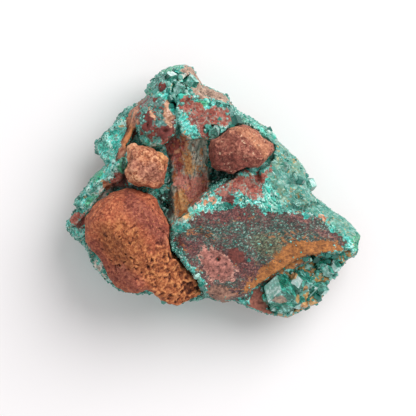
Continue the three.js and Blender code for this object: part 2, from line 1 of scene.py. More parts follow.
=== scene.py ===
# %% [markdown]
# # A dioptase specimen
#
# Dioptase is a copper silicate. It grows as a crust of short, glassy, blue-green crystals where
# copper ore meets iron-stained rock. This specimen is one broken piece of that rock. It carries
# the crust, the dark red and ochre stains, three rusty lumps of limonite, and a few crystals
# that grew large enough to show their faces.
#
# The solids of the part are the frame: they give every form its place and size. Here each one
# gets the fine skin that the solids leave out, and its finish.

# %% Load the solids
import itertools
import math

import bmesh
import bpy
import numpy as np
from mathutils import Matrix, Vector
from mathutils.bvhtree import BVHTree


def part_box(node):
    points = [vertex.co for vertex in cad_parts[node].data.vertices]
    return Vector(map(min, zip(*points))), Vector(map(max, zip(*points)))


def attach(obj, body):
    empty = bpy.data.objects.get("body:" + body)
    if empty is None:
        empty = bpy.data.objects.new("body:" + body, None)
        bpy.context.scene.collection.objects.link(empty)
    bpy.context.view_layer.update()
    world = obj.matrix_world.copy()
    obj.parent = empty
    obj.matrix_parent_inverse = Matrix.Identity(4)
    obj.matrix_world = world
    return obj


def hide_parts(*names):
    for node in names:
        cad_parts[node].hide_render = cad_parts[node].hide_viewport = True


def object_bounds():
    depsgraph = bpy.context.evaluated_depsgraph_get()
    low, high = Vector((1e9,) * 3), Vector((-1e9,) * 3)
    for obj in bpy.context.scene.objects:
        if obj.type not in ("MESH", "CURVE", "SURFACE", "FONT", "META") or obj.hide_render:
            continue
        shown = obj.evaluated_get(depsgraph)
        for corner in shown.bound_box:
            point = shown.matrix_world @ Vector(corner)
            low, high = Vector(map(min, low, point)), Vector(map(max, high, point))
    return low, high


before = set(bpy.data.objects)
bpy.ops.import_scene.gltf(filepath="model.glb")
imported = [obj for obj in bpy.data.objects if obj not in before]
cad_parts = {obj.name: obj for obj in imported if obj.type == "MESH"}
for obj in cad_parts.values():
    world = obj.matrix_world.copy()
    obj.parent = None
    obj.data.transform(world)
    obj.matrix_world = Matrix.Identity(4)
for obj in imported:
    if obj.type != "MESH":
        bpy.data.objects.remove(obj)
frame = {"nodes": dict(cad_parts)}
cad_box = [list(corner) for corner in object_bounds()]
MM = 0.001  # the model is in metres, and the work below is in millimetres
print("solids:", ", ".join(frame["nodes"]))

# %% [markdown]
# ## Numbers that behave like rock
#
# A broken surface is rough at every size. Blender's own texture nodes can paint that, but the
# silhouette stays smooth. Working the roughness out with numpy moves the real surface, and the
# same numbers can then say where a stain lies. Everything starts from one number for each
# corner of a grid. It is always the same number, so the rock comes out alike on every run.


# %% Noise from a grid of fixed numbers
PRIMES = (73856093, 19349663, 83492791)  # they stir the three axes apart


def grid_number(corner, seed):
    """A fixed number from 0 to 1 for each grid corner."""
    i, j, k = (corner[..., axis].astype(np.int64) * PRIMES[axis] for axis in range(3))
    n = i ^ j ^ k ^ (seed * 265443577)
    n = ((n ^ (n >> 13)) * 1274126177) & 0x7FFFFFFF
    return ((n ^ (n >> 15)) & 0xFFFF) / 65535.0


def swell(points, grain, seed=0, octaves=3):
    """Soft bumps of about -1 to 1. grain is the size of the largest, in millimetres."""
    total = np.zeros(len(points))
    weight = 1.0
    for octave in range(octaves):
        p = points / grain + 31.7 * (octave + 1)
        base = np.floor(p)
        part = p - base
        part = part * part * (3 - 2 * part)
        value = np.zeros(len(points))
        for corner in itertools.product((0, 1), repeat=3):
            share = np.prod(np.where(np.array(corner), part, 1 - part), axis=1)
            value += share * grid_number(base + corner, seed + octave)
        total += weight * (2 * value - 1)
        weight *= 0.5
        grain *= 0.5
    return total


# %% Cells, like grains packed side by side
def grains(points, grain, seed=0):
    """For each point: distance to the nearest grain centre and to the next, a number for the
    grain, and the way from its centre to the point."""
    p = points / grain
    base = np.floor(p)
    near = np.full(len(p), 9.0)
    after = near.copy()
    pick = np.zeros(len(p))
    centre = np.zeros_like(p)
    for offset in itertools.product((-1, 0, 1), repeat=3):
        cell = base + offset
        spot = cell + np.stack([grid_number(cell, seed + n) for n in (1, 2, 3)], axis=1)
        distance = np.linalg.norm(p - spot, axis=1)
        closer = distance < near
        after = np.where(closer, near, np.minimum(after, distance))
        near = np.where(closer, distance, near)
        pick = np.where(closer, grid_number(cell, seed + 4), pick)
        centre[closer] = spot[closer]
    return near * grain, after * grain, pick, (p - centre) * grain


def facets(points, grain, seed=0):
    """Faces tilted every way that meet in shallow grooves, as crystals do: about -1 to 1."""
    near, after, pick, way = grains(points, grain, seed)
    turn = 2 * math.pi * pick
    lean = np.stack([np.cos(turn), np.sin(turn), np.cos(3 * turn)], axis=1)
    height = (way * lean).sum(axis=1) / grain + 0.7 * (pick - 0.5)
    return height * np.clip((after - near) / (0.4 * grain), 0, 1)


# %% Outlines and spots drawn on the rock from above
def inside(points, outline):
    """How far inside an outline each point lies, in millimetres; below 0 outside."""
    x, y = points[:, 0], points[:, 1]
    corners = np.array(outline, float)
    nearest = np.full(len(x), 1e9)
    odd = np.zeros(len(x), bool)
    for (ax, ay), (bx, by) in zip(corners, np.roll(corners, -1, axis=0)):
        ex, ey = bx - ax, by - ay
        along = np.clip(((x - ax) * ex + (y - ay) * ey) / (ex * ex + ey * ey), 0, 1)
        nearest = np.minimum(nearest, np.hypot(x - ax - along * ex, y - ay - along * ey))
        if ay != by:
            odd ^= ((ay > y) != (by > y)) & (x < ex * (y - ay) / (by - ay) + ax)
    return np.where(odd, nearest, -nearest)


def spot(points, centre, radii, turn=0):
    """The same for an oval, turned by some degrees."""
    a = math.radians(turn)
    dx, dy = points[:, 0] - centre[0], points[:, 1] - centre[1]
    u = (dx * math.cos(a) + dy * math.sin(a)) / radii[0]
    v = (dy * math.cos(a) - dx * math.sin(a)) / radii[1]
    return (1 - np.hypot(u, v)) * min(radii)


def soft(depth, blur):
    """Turns a depth inside an outline into 0 to 1, over a band as wide as blur."""
    return np.clip(0.5 + depth / blur, 0, 1)


def any_of(*depths):
    return np.max(np.stack(depths), axis=0)


# %% [markdown]
# ## A skin of clay over each solid
#
# Each solid is copied and remeshed into small even squares. That gives enough points to push
# in and out, everywhere at the same scale. A subdivision surface would round the broken edges
# off evenly, and each displace modifier takes only one texture, so the points are moved
# directly. The skin is worked in millimetres and goes back to metres at the end.


# %% The skin
def add(name, data):
    """Puts a mesh, a lamp or a camera in the scene."""
    thing = bpy.data.objects.new(name, data)
    bpy.context.collection.objects.link(thing)
    return thing


def with_modifiers(thing):
    """A new mesh of what the object's modifiers make of it."""
    return bpy.data.meshes.new_from_object(thing.evaluated_get(bpy.context.evaluated_depsgraph_get()))


class Skin:
    """A remeshed copy of a solid, with its points, normals and painted layers as arrays."""

    def __init__(self, node, voxel, quick_voxel, rub=1):
        source = frame["nodes"][node].data.copy()
        source.transform(Matrix.Scale(1 / MM, 4))
        block = add(node + "_block", source)
        remesh = block.modifiers.new("even squares", "REMESH")
        remesh.mode = "VOXEL"
        remesh.voxel_size = voxel
        smooth = block.modifiers.new("rubbed", "SMOOTH")
        smooth.factor = 0.5
        smooth.iterations = rub
        self.mesh = with_modifiers(block)
        bpy.data.objects.remove(block)
        self.node = node
        self.layers = {}
        self.measure()

    def measure(self):
        self.points = np.empty((len(self.mesh.vertices), 3))
        self.mesh.vertices.foreach_get("co", self.points.ravel())
        self.normals = np.empty_like(self.points)
        self.mesh.vertex_normals.foreach_get("vector", self.normals.ravel())

    def push(self, amount):
        """Moves each point out along its normal, but never under the floor."""
        self.points = self.points + self.normals * np.asarray(amount)[:, None]
        self.points[:, 2] = np.maximum(self.points[:, 2], 0)
        self.mesh.vertices.foreach_set("co", self.points.ravel())
        self.mesh.update()
        self.measure()

    def average(self, values, rounds):
        """Spreads columns of values over the neighbouring points."""
        ends = np.empty(len(self.mesh.edges) * 2, np.int32)
        self.mesh.edges.foreach_get("vertices", ends)
        here, there = ends[::2], ends[1::2]
        count = len(values)
        share = 1 / (np.bincount(ends, minlength=count) + 1)
        columns = [column.astype(float) for column in values.T]
        for _ in range(rounds):
            columns = [
                (c + np.bincount(here, c[there], count) + np.bincount(there, c[here], count)) * share
                for c in columns
            ]
        return np.stack(columns, axis=1)

    def hollows(self, rounds, reach):
        """About 0.5 where the skin is even, towards 1 in a hollow and 0 on a ridge."""
        level = self.average(self.points, rounds)
        depth = ((level - self.points) * self.normals).sum(axis=1)
        return np.clip(0.5 + depth / (2 * reach), 0, 1)

    def paint(self, name, values):
        self.layers[name] = np.asarray(values, np.float32)

    def finish(self, name, material):
        """The skin as a piece of the model, in metres, in place of its solid."""
        for layer, values in self.layers.items():
            attribute = self.mesh.attributes.new(layer, "FLOAT", "POINT")
            attribute.data.foreach_set("value", values)
        self.mesh.transform(Matrix.Scale(MM, 4))
        self.mesh.polygons.foreach_set("use_smooth", [True] * len(self.mesh.polygons))
        self.mesh.materials.clear()
        self.mesh.materials.append(material)
        piece = add(name, self.mesh)
        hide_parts(self.node)
        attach(piece, "root")
        print(name, "has", len(self.mesh.polygons), "faces")


# %% [markdown]
# ## The rock: working the surface
#
# The rock shows several kinds of ground. Teal crust covers most of it, grainy with small
# crystals. A broad slab has a granular purple-brown face, streaky rock fills the valley, a
# smooth ochre wedge cuts across the slab, and red stains lie flush in the crust. Each is drawn
# as outlines seen from above, then frayed with noise so that no border runs clean.

# %% Where the wide kinds of ground lie
RIGHT_SLOPE = [
    (8.4, 14), (11.6, 14.6), (17, 8.4), (20.4, 3), (22, 0.4), (30, -5.6), (31, -10), (27, -9.6),
    (21.8, -5.4), (17, -4), (12.6, -3.4), (12, -0.6), (10.8, 4.4), (11, 7.4), (9, 10.4),
]
GROUNDS = {
    "slab": [
        [(-2.8, -4.4), (0.4, -4), (4.4, -3.2), (9.2, -2.6), (10.4, -4.2), (17, -4.2), (21.8, -5.8),
         (26.6, -10), (25.6, -11.4), (21, -13.4), (14.6, -16), (8.6, -19.6), (6, -21.8), (1.8, -22.4),
         (-0.8, -21.6), (-1.6, -19.4), (-2.6, -17.4), (-4.4, -15.2), (-5.6, -13.8), (-5.2, -12), (-5, -9.6),
         (-4.8, -7)],
    ],
    "ochre": [
        [(16.4, -10), (21.2, -10), (25.4, -11.2), (26.8, -11.6), (23, -12.1), (19, -13.2), (16.4, -14.8),
         (11.2, -17.2), (8.6, -18.6), (6, -20.2), (7, -18.4), (8.6, -16.8), (10.6, -14.4), (12.6, -13),
         (14.4, -11.6)],
    ],
    "pink": [
        [(-2.4, -11), (0, -11.4), (2, -12.4), (3.6, -13.6), (4.6, -15.6), (3.8, -17.6), (1, -18.4),
         (-1, -17.2), (-2, -15), (-2.8, -13)],
    ],
    "valley": [
        [(-7.4, 10.2), (-5.4, 10.4), (-3, 10.6), (-0.6, 10.2), (-1.2, 8), (-1.2, 5), (-0.4, 4), (0, 2),
         (-1.4, -0.6), (-3.2, -2.4), (-4.4, -4.4), (-6.4, -6), (-8.4, -7), (-8.6, -3), (-8.2, 1), (-8.4, 5),
         (-9.2, 8)],
    ],
}
print("wide kinds of ground:", ", ".join(GROUNDS))

# %% The small stains, ridges and beds
GROUNDS |= {
    "pits": [
        [(-13.7, 15.4), (-12.6, 15.6), (-11.1, 15.8), (-11, 14.5), (-12, 13.2), (-12.2, 11.9),
         (-13.3, 11.2), (-14.3, 12.1), (-14.1, 13.2), (-13.5, 14.1)],
        [(-11.4, 10.8), (-10.2, 9.9), (-8.9, 10), (-7.8, 11), (-7.4, 12.4), (-9, 13.2), (-10.2, 12.8),
         (-11.3, 12.1)],
        [(-11.1, 21), (-10, 21.5), (-8.9, 21.2), (-8.9, 20.1), (-10, 19.7), (-11, 20.3)],
    ],
    "red": [
        [(-6.1, 16.9), (-5.7, 18), (-4.6, 18.2), (-3.9, 17.1), (-2.6, 16.4), (-3.1, 15.6), (-4.6, 15.6),
         (-5.7, 15.8)],
        [(-4.1, 14.9), (-2.8, 16), (-0.7, 16.2), (-0.2, 14.1), (-0.2, 12.3), (-0.9, 11), (-2, 11.2),
         (-2.4, 12.1), (-3.9, 13.2)],
        [(-0.5, 15.8), (0.2, 16.4), (1.5, 16.4), (2.4, 15.8), (2.4, 14.5), (3.1, 13.6), (2.6, 12.8),
         (1.5, 13), (0.6, 13.4), (0.4, 14.5), (-0.2, 14.9)],
        [(-20.2, 1), (-20, 2.5), (-18.9, 3.3), (-17.5, 2.7), (-17.4, 1.3), (-19.2, 1.1)],
        [(-28.4, -5.4), (-27, -4.6), (-25.8, -5), (-25.6, -6.8), (-27, -7.4)],
        [(0.6, -0.2), (2.6, 1), (4.2, 2.4), (6, 3.2), (7.8, 2.8), (9.8, 3.2), (11, 4), (10.2, 1.6),
         (8.6, 1), (9.8, 0.4), (9, -1.4), (7.8, -1.8), (7.2, -0.4), (5.4, 0.1), (3.8, -0.3), (2, -0.4)],
    ],
    "tan": [
        [(-13, 16.4), (-12.4, 16.2), (-11, 14.2), (-11.4, 13.9), (-12.2, 14.9)],
        [(-9.8, 17.7), (-8.7, 18.2), (-8, 15.4), (-7.8, 14.1), (-8.5, 12.3), (-9.1, 13.2), (-9.9, 14.9)],
    ],
    "seam": [
        [(-13.8, 18.8), (-14.5, 15.8), (-14.7, 13), (-15.6, 10.4), (-17.2, 7.8), (-18.6, 6.2), (-20, 5.4),
         (-19, 7.8), (-17.9, 10.4), (-17.3, 13), (-16.6, 15.4), (-15.1, 18)],
    ],
    "ridge": [
        [(-6, 24.2), (-4.6, 26), (-2, 25), (2, 22.6), (6, 19.6), (5, 16.8), (2.6, 17.8), (-0.6, 18.3),
         (-2.4, 18.6), (-3.4, 19.6), (-4.2, 21.2), (-5, 22.6)],
    ],
    "facet": [
        [(7, -21.8), (7.8, -19.8), (9.4, -19.2), (10.2, -19.8), (11, -21.8), (12.6, -23.4), (11.8, -24.6),
         (9.8, -24.3), (7, -23.2)],
    ],
    "bed": [
        [(11, -18.4), (14, -16.6), (18, -14.6), (22, -13), (27, -11.8), (30, -12), (28, -14.6),
         (25.6, -16.8), (24, -19), (23, -22), (19, -24), (15, -26), (12, -26), (12.4, -23)],
    ],
    "lobe": [
        [(-14.8, 17.6), (-13, 19), (-10, 18.6), (-8, 16), (-7, 12), (-8.4, 9.8), (-11.6, 9.4), (-14.4, 11),
         (-15, 14)],
    ],
}
print("all kinds of ground:", ", ".join(GROUNDS))

# %% Press the roughness into the rock
rock = Skin("matrix_rock", 0.3, 0.45)


def frayed(points, grain=1.3, amount=0.5):
    """The same points shifted about, so that an outline tested on them frays."""
    shift = [swell(points, grain, seed, 3) for seed in (11, 12)]
    return points + amount * np.stack([*shift, np.zeros(len(points))], axis=1)


def depths(points, drawn):
    """How far inside each kind of ground the points lie."""
    return {name: any_of(*(inside(points, outline) for outline in drawn[name])) for name in drawn}


def streak_of(points):
    """Squeezes the points across the valley and draws them out along it."""
    x, y, z = points.T
    return np.stack([2.2 * x + 0.5 * y, 0.35 * y, 0.6 * z], axis=1)


p = rock.points
top = np.clip((rock.normals[:, 2] + 0.1) * 3, 0, 1)
masks = {name: soft(depth, 0.6) * top for name, depth in depths(frayed(p), GROUNDS).items()}
plain = ("slab", "valley", "ochre", "facet", "seam", "ridge")  # ground without a crust
crust = np.clip(1 - sum(masks[name] for name in plain), 0, 1)
coarse = 1 - 0.7 * soft(inside(frayed(p), RIGHT_SLOPE), 3) * top  # the right slope is worn smoother
streak = streak_of(p)
near, _, _, _ = grains(p, 1.5, 41)
relief = (
    0.2 * swell(p, 3.2, 1, 3)
    + crust * coarse * (0.28 * facets(p, 3, 5) + 0.12 * facets(p, 1.3, 9) + 0.05 * facets(p, 0.6, 13))
    + masks["slab"] * (0.1 * swell(p, 0.9, 21, 2) + 0.08 * facets(p, 0.8, 23) + 0.2 * swell(p, 2.2, 25, 1))
    + masks["valley"] * 0.3 * swell(streak, 1.3, 31, 3)
    + masks["ridge"] * 0.25 * swell(streak, 1.6, 35, 3)
    + 0.25 * masks["pits"]
    - 0.08 * masks["red"]
    + masks["pink"] * (0.4 * np.clip(1 - near / 0.9, 0, 1) - 0.1)
    + (1 - top) * (0.35 * facets(p, 4.2, 51) + 0.2 * facets(p, 1.7, 53))
)
rock.push(relief * np.clip(p[:, 2] / 0.6, 0, 1))
print("rock has", len(rock.points), "points")

# %% [markdown]
# ## The rock: paint in layers
#
# The stains are iron oxide that soaked into the crust, so they have no edge of their own to
# model. They are painted on the skin's points as plain numbers: how deep a point lies inside
# an outline, in millimetres. The material reads each layer back and mixes one colour over
# another, as a painter glazes. A painted layer sits exactly on the relief it belongs to, which
# a texture laid from above would not.

# %% Stains that only change the colour, and gaps that get painted shade
STAINS_AND_PAINTED_LIGHT = {
    "purple": [
        [(-8, 6.4), (-6.2, 6.6), (-5.6, 3.4), (-4, 2.8), (-1.6, 3.6), (-0.8, 2.4), (-0.8, -0.4),
         (-3.2, -2.8), (-5.8, -2.4), (-7.6, 0.8)],
    ],
    "rusty": [
        [(-10, 10), (-8, 10.8), (-5.4, 10.2), (-5.8, 6), (-6.2, 3), (-7.2, 2.6), (-7.8, 5.8), (-9.4, 7.2)],
    ],
    "gold": [
        [(-6, 7.6), (-4.8, 7.8), (-3.6, 4.4), (-4, 3), (-5.6, 3.4)],
        [(-7.8, 0.2), (-6.2, 0.4), (-4.6, -3), (-4.8, -5.4), (-6.6, -5.6), (-7.8, -3)],
    ],
    # gap: painted shade, dark green and brown, in the crevices where the rock meets the lumps.
    "gap": [
        [(-9.2, 7.4), (-8.3, 7.4), (-8, 2), (-8.2, -1.8), (-9.2, -1.6), (-9.3, 3)],
        [(-18.2, 6.7), (-17.4, 6.5), (-17.2, 2), (-18.2, 1.7)],
        [(-20.8, -0.6), (-20.4, 0.6), (-19.6, 1.1), (-18, 1.2), (-17.2, 0.8), (-16.6, 1.6), (-14, 1.1),
         (-14, 0), (-16.6, -0.2), (-18.2, -0.2), (-19.4, -0.5)],
        [(-11.4, -1), (-9.6, 0), (-8, -0.4), (-7.4, -3), (-8.2, -5.2), (-10, -4.4)],
        [(-0.8, 4.4), (1.6, 4.8), (5, 4.9), (5.6, 3.6), (3, 1.8), (0.8, 1), (-0.8, 2)],
    ],
    "crimson": [
        [(3, -11.6), (5, -11.2), (6.6, -12.6), (6.2, -14.2), (4.4, -15), (3, -13.6)],
    ],
    "brown": [
        [(-2.8, -20), (-0.6, -18.8), (2.6, -18.8), (4.6, -20.4), (2.4, -22.6), (-0.6, -22.4)],
    ],
    "dust": [
        [(-25.6, -4.4), (-22.4, -0.4), (-19.6, 3.4), (-18, 3), (-18.4, 0.8), (-20.4, -0.6), (-22.8, -3),
         (-25, -5.4)],
        [(-25.6, -10.4), (-24.6, -11), (-23, -14.4), (-21, -18), (-19, -20), (-19.8, -20.8),
         (-22.2, -18.4), (-24.6, -14.8)],
    ],
}
print("stains of their own colour:", ", ".join(STAINS_AND_PAINTED_LIGHT))

# %% Where the crust gets painted light or turns dimmer, and the slab is speckled
STAINS_AND_PAINTED_LIGHT |= {
    # flank: painted light, lifting the crust where the lumps would leave it in shade.
    "flank": [
        [(-26.4, -5.8), (-24, -2), (-21.6, 1.6), (-18.6, 5.6), (-17, 5), (-17.4, 1.6), (-20, -0.4),
         (-23.4, -3.4), (-25.4, -6.6)],
    ],
    "speckled": [
        [(-4.6, -6.2), (2, -6.2), (8, -5), (14, -6), (20, -8), (24.4, -10), (16.4, -10), (12.6, -12.4),
         (9, -15.6), (7, -13.6), (3, -10.8), (-2.6, -10.4), (-5, -9.6)],
    ],
    "dim": [
        [(2.6, 17.6), (5.2, 16), (6.6, 13.6), (5, 11.4), (2.8, 12.2), (2.8, 15)],
        [(-8.8, -7), (-9.6, -11), (-6.4, -14.4), (-4.6, -12), (-4.8, -8.6)],
        [(-8.8, 22.4), (-9.6, 20), (-11.4, 19.4), (-11.6, 21.6), (-10, 23.4)],
    ],
    # bright: painted light and glints on rims, by the peak and on the crest.
    "bright": [
        [(-2.8, -1.8), (-1, -0.4), (1, 1), (3.4, 3), (6.2, 4.6), (5.8, 3.8), (3.4, 2), (1, 0), (-1, -1.6),
         (-2.4, -2.6)],
        [(-7.8, 20.4), (-5, 20.2), (-5.2, 18.6), (-7.6, 18.4)],
        [(8.8, 0), (11.6, 0.2), (12.6, -2), (10.8, -4.2), (9.4, -2.6)],
        [(-8.8, -6.6), (-7.4, -5.2), (-4.4, -4), (-2.8, -2), (-4.2, -5), (-6.6, -7)],
        [(-21.4, 3.6), (-18.6, 5.4), (-18, 2.4), (-20.6, -0.6), (-23.6, -3), (-25, -1.4)],
        [(-19.6, 9.8), (-18.4, 12.4), (-16.6, 14.8), (-17.4, 12), (-19.2, 8.8)],
    ],
}
print("stains drawn as outlines:", ", ".join(STAINS_AND_PAINTED_LIGHT))

# %% A strip beside the slab, and small spots
SLAB_MARGIN = [
    (-2.4, -6), (-4.8, -7.2), (-6.9, -8.4), (-7.5, -9.8), (-7.1, -11.2), (-5.5, -12.8), (-3.4, -14),
    (-1.6, -10), (-1.4, -7),
]
SPOTS = {  # the middle of each oval, its radii and its turn in degrees
    "cream": [((-6.4, 22.6), (1, 0.7), 20), ((-23.8, -2.3), (0.5, 0.4))],
    "emerald": [
        ((-9.6, 24.4), (2.4, 0.8), 10), ((-6.6, 19.7), (1.1, 0.6), -30), ((-23.2, 3.1), (1.1, 0.6), 45),
        ((-17.9, 4.6), (0.45, 1.8), 0), ((-24.2, -1.8), (1, 0.45), 40), ((28.6, -10.2), (0.7, 1.3), 0),
        ((5.2, 13.8), (1.3, 0.6), 20), ((-2, 17.2), (0.8, 0.5), 0), ((-24.8, 10.4), (0.8, 1.2), 20),
        ((-13.6, 18.4), (0.8, 1.6), -20), ((-3.2, -1.4), (0.9, 0.5), 40), ((-9.6, -9.4), (0.5, 1.2), 10),
    ],
    "vivid": [
        ((-6.8, 19.6), (1.5, 1), -40), ((-10.8, 19.2), (0.6, 1.1), 0), ((8.8, 12.2), (2, 0.8), -35),
        ((-3.4, -3.6), (1.1, 0.8), 40), ((11.4, -3.4), (1.8, 0.6), -40), ((-22, 9), (1, 0.7), 30),
    ],
    "orange": [
        ((0, -1.6), (0.9, 0.7)), ((-1.6, -2.2), (0.7, 0.5)), ((22, -5.2), (1, 0.5), -35),
        ((-21.1, 1.1), (0.9, 0.8)), ((-7, 7.9), (1, 0.6)), ((-5.8, 10.8), (0.6, 0.8)),
        ((-5.4, 9), (0.4, 0.8)),
    ],
}
DEEPER = {"emerald": 0.35, "vivid": 0.2, "red": 0.5, "pits": -0.1, "ridge": 0.35}  # mm past the outline
print("stains drawn as ovals:", ", ".join(SPOTS))

# %% Paint the layers
p = rock.points
q = frayed(p, 1.1, 0.4)
areas = {**depths(frayed(p), GROUNDS), **depths(q, STAINS_AND_PAINTED_LIGHT)}
for name, places in SPOTS.items():
    areas[name] = any_of(*(spot(q, *place) for place in places))
areas["crimson"] = any_of(areas["crimson"], spot(p, (2.9, -1.8), (1.5, 1.2)))
areas["slab"] = any_of(areas["slab"], inside(q, SLAB_MARGIN))
areas["slope"] = inside(q, RIGHT_SLOPE)
# The lobe faces away from the lamp, so it is dimmed too: painted shade.
areas["dim"] = any_of(areas["dim"], inside(q, GROUNDS["lobe"][0]))
for name, more in DEEPER.items():
    areas[name] += more
steepest = 6 * (rock.normals[:, 2] - 0.02)  # a zone ends where the ground turns down
for name, depth in areas.items():
    limit = steepest + 0.9 if name in ("emerald", "vivid", "dust") else steepest
    rock.paint(name, np.minimum(np.clip(depth, -3, 3), limit))
# These two layers carry painted shade: the finishes darken the colour in hollows and lay a painted shadow in
# the deepest ones.
rock.paint("hollow", rock.hollows(8, 0.2))
rock.paint("deep_shade", rock.hollows(60, 0.9))
steep = 1.5 * np.clip(1 - p[:, 2] / 7, 0, 1) * np.clip(0.25 - rock.normals[:, 2], 0, 1)
steep *= 1 - soft(any_of(areas["flank"], areas["seam"]) + 1.5, 1)
rock.paint("under", np.clip(np.maximum(-rock.normals[:, 2] * 2 - 0.2, steep), 0, 1))
rock.paint("right", soft(p[:, 0] + 0.4 * p[:, 1] - 1, 5))
print("layers:", len(rock.layers))

# %% [markdown]
# ## Finishes as sums
#
# A Blender material is a tree of nodes, and long trees are hard to read. The class below lets a
# socket be added, multiplied and mixed in ordinary Python, and places the Math nodes itself.
# Any other node comes from one method that takes the node's type, its settings and its inputs.


# %% A socket that can be reckoned with
class Wire:
    """One output of a tree. Python's own signs place Math nodes on it."""

    def __init__(self, tree, socket):
        self.tree = tree
        self.socket = socket

    def maths(self, operation, *values):
        node = self.tree.nodes.new("ShaderNodeMath")
        node.operation = operation
        for entry, value in zip(node.inputs, values):
            join(self.tree, entry, value)
        return Wire(self.tree, node.outputs[0])

    def __add__(self, other):
        return self.maths("ADD", self, other)

    def __radd__(self, other):
        return self.maths("ADD", other, self)

    def __sub__(self, other):
        return self.maths("SUBTRACT", self, other)

    def __rsub__(self, other):
        return self.maths("SUBTRACT", other, self)

    def __mul__(self, other):
        return self.maths("MULTIPLY", self, other)

    def __rmul__(self, other):
        return self.maths("MULTIPLY", other, self)

    def __truediv__(self, other):
        return self.maths("DIVIDE", self, other)

    def __rtruediv__(self, other):
        return self.maths("DIVIDE", other, self)

    def larger(self, other):
        return self.maths("MAXIMUM", self, other)

    def held(self):
        """The value kept from 0 to 1."""
        return self.maths("MINIMUM", self.larger(0.0), 1.0)

    def step(self, low, high):
        """0 below low, 1 above high and a straight line between."""
        return ((self - low) / (high - low)).held()


def screen(colour):
    """Red, green and blue as a screen shows them, from 0 to 255, as a shader takes them."""
    parts = (part / 255 for part in colour)
    return (*(c / 12.92 if c <= 0.04045 else ((c + 0.055) / 1.055) ** 2.4 for c in parts), 1.0)


def join(tree, entry, value):
    """Links a wire to an input, or sets the input. Three numbers for a colour are a screen's."""
    if isinstance(value, Wire):
        tree.links.new(value.socket, entry)
    elif entry.type == "RGBA" and len(value) == 3:
        entry.default_value = screen(value)
    else:
        entry.default_value = value


# %% A tree of nodes and the patterns it can hold
class Tree:
    """A material's tree. Grains and places are in millimetres on the object."""

    def __init__(self, name):
        self.material = bpy.data.materials.new(name)
        self.material.use_nodes = True
        self.tree = self.material.node_tree
        self.tree.nodes.clear()
        metres = self.node("ShaderNodeTexCoord")["Object"]
        inputs = {"Vector": metres, "Scale": 1 / MM}
        self.where = self.node("ShaderNodeVectorMath", {"operation": "SCALE"}, inputs)["Vector"]
        self.ragged = None

    def node(self, kind, settings=None, inputs=None):
        """Adds a node and gives its outputs back by name."""
        node = self.tree.nodes.new(kind)
        for name, value in (settings or {}).items():
            setattr(node, name, value)
        for name, value in (inputs or {}).items():
            entry = next(s for s in node.inputs if name in (s.identifier, s.name) and s.enabled)
            join(self.tree, entry, value)
        return {s.name: Wire(self.tree, s) for s in node.outputs if s.enabled}

    def layer(self, name):
        """A value that was painted on the points of a skin."""
        return self.node("ShaderNodeAttribute", {"attribute_name": name})["Fac"]

    def noise(self, grain, detail=3.0, rough=0.55, where=None):
        where = self.where if where is None else where
        inputs = {"Vector": where, "Scale": 1 / grain, "Detail": detail, "Roughness": rough}
        return self.node("ShaderNodeTexNoise", None, inputs)["Fac"]

    def streaks(self, way, longer, grain, detail=3.0, rough=0.55):
        """Noise drawn out along a heading in the ground plane, given in degrees."""
        inputs = {"Vector": self.where, "Rotation": (0, 0, math.radians(way)), "Scale": (longer, 1, 1)}
        drawn = self.node("ShaderNodeMapping", {"vector_type": "TEXTURE"}, inputs)["Vector"]
        return self.noise(grain, detail, rough, drawn)

    def cracks(self, way, longer, grain, thin):
        """1 on wandering lines and 0 elsewhere."""
        off = self.streaks(way, longer, grain, 5, 0.65) - 0.5
        return 1 - (off * off * thin).held()

    def vectors(self, operation, first, second):
        """Vector maths. Gives the outputs by name."""
        inputs = {"Vector": first, "Vector_001": second}
        return self.node("ShaderNodeVectorMath", {"operation": operation}, inputs)

    def cells(self, grain):
        """Packed grains: distance to the nearest centre, a number from 0 to 1 for each grain, and
        the height of a plane that tilts its own way in each."""
        found = self.node("ShaderNodeTexVoronoi", None, {"Vector": self.where, "Scale": 1 / grain})
        parts = self.node("ShaderNodeSeparateColor", None, {"Color": found["Color"]})
        off = self.vectors("SUBTRACT", self.where, found["Position"])["Vector"]
        lean = self.vectors("SUBTRACT", found["Color"], (0.5, 0.5, 0.5))["Vector"]
        return found["Distance"], parts["Red"], self.vectors("DOT_PRODUCT", off, lean)["Value"]

    def oval(self, centre, radii):
        """1 at the middle of an oval seen from above, 0 on its edge and below 0 outside."""
        scale = (1 / radii[0], 1 / radii[1], 0)
        shift = (-centre[0] / radii[0], -centre[1] / radii[1], 0)
        inputs = {"Vector": self.where, "Location": shift, "Scale": scale}
        moved = self.node("ShaderNodeMapping", None, inputs)["Vector"]
        return 1 - self.node("ShaderNodeVectorMath", {"operation": "LENGTH"}, {"Vector": moved})["Value"]

    def ovals(self, *places):
        """The same for several ovals, where the nearest counts."""
        found = self.oval(*places[0])
        for place in places[1:]:
            found = found.larger(self.oval(*place))
        return found


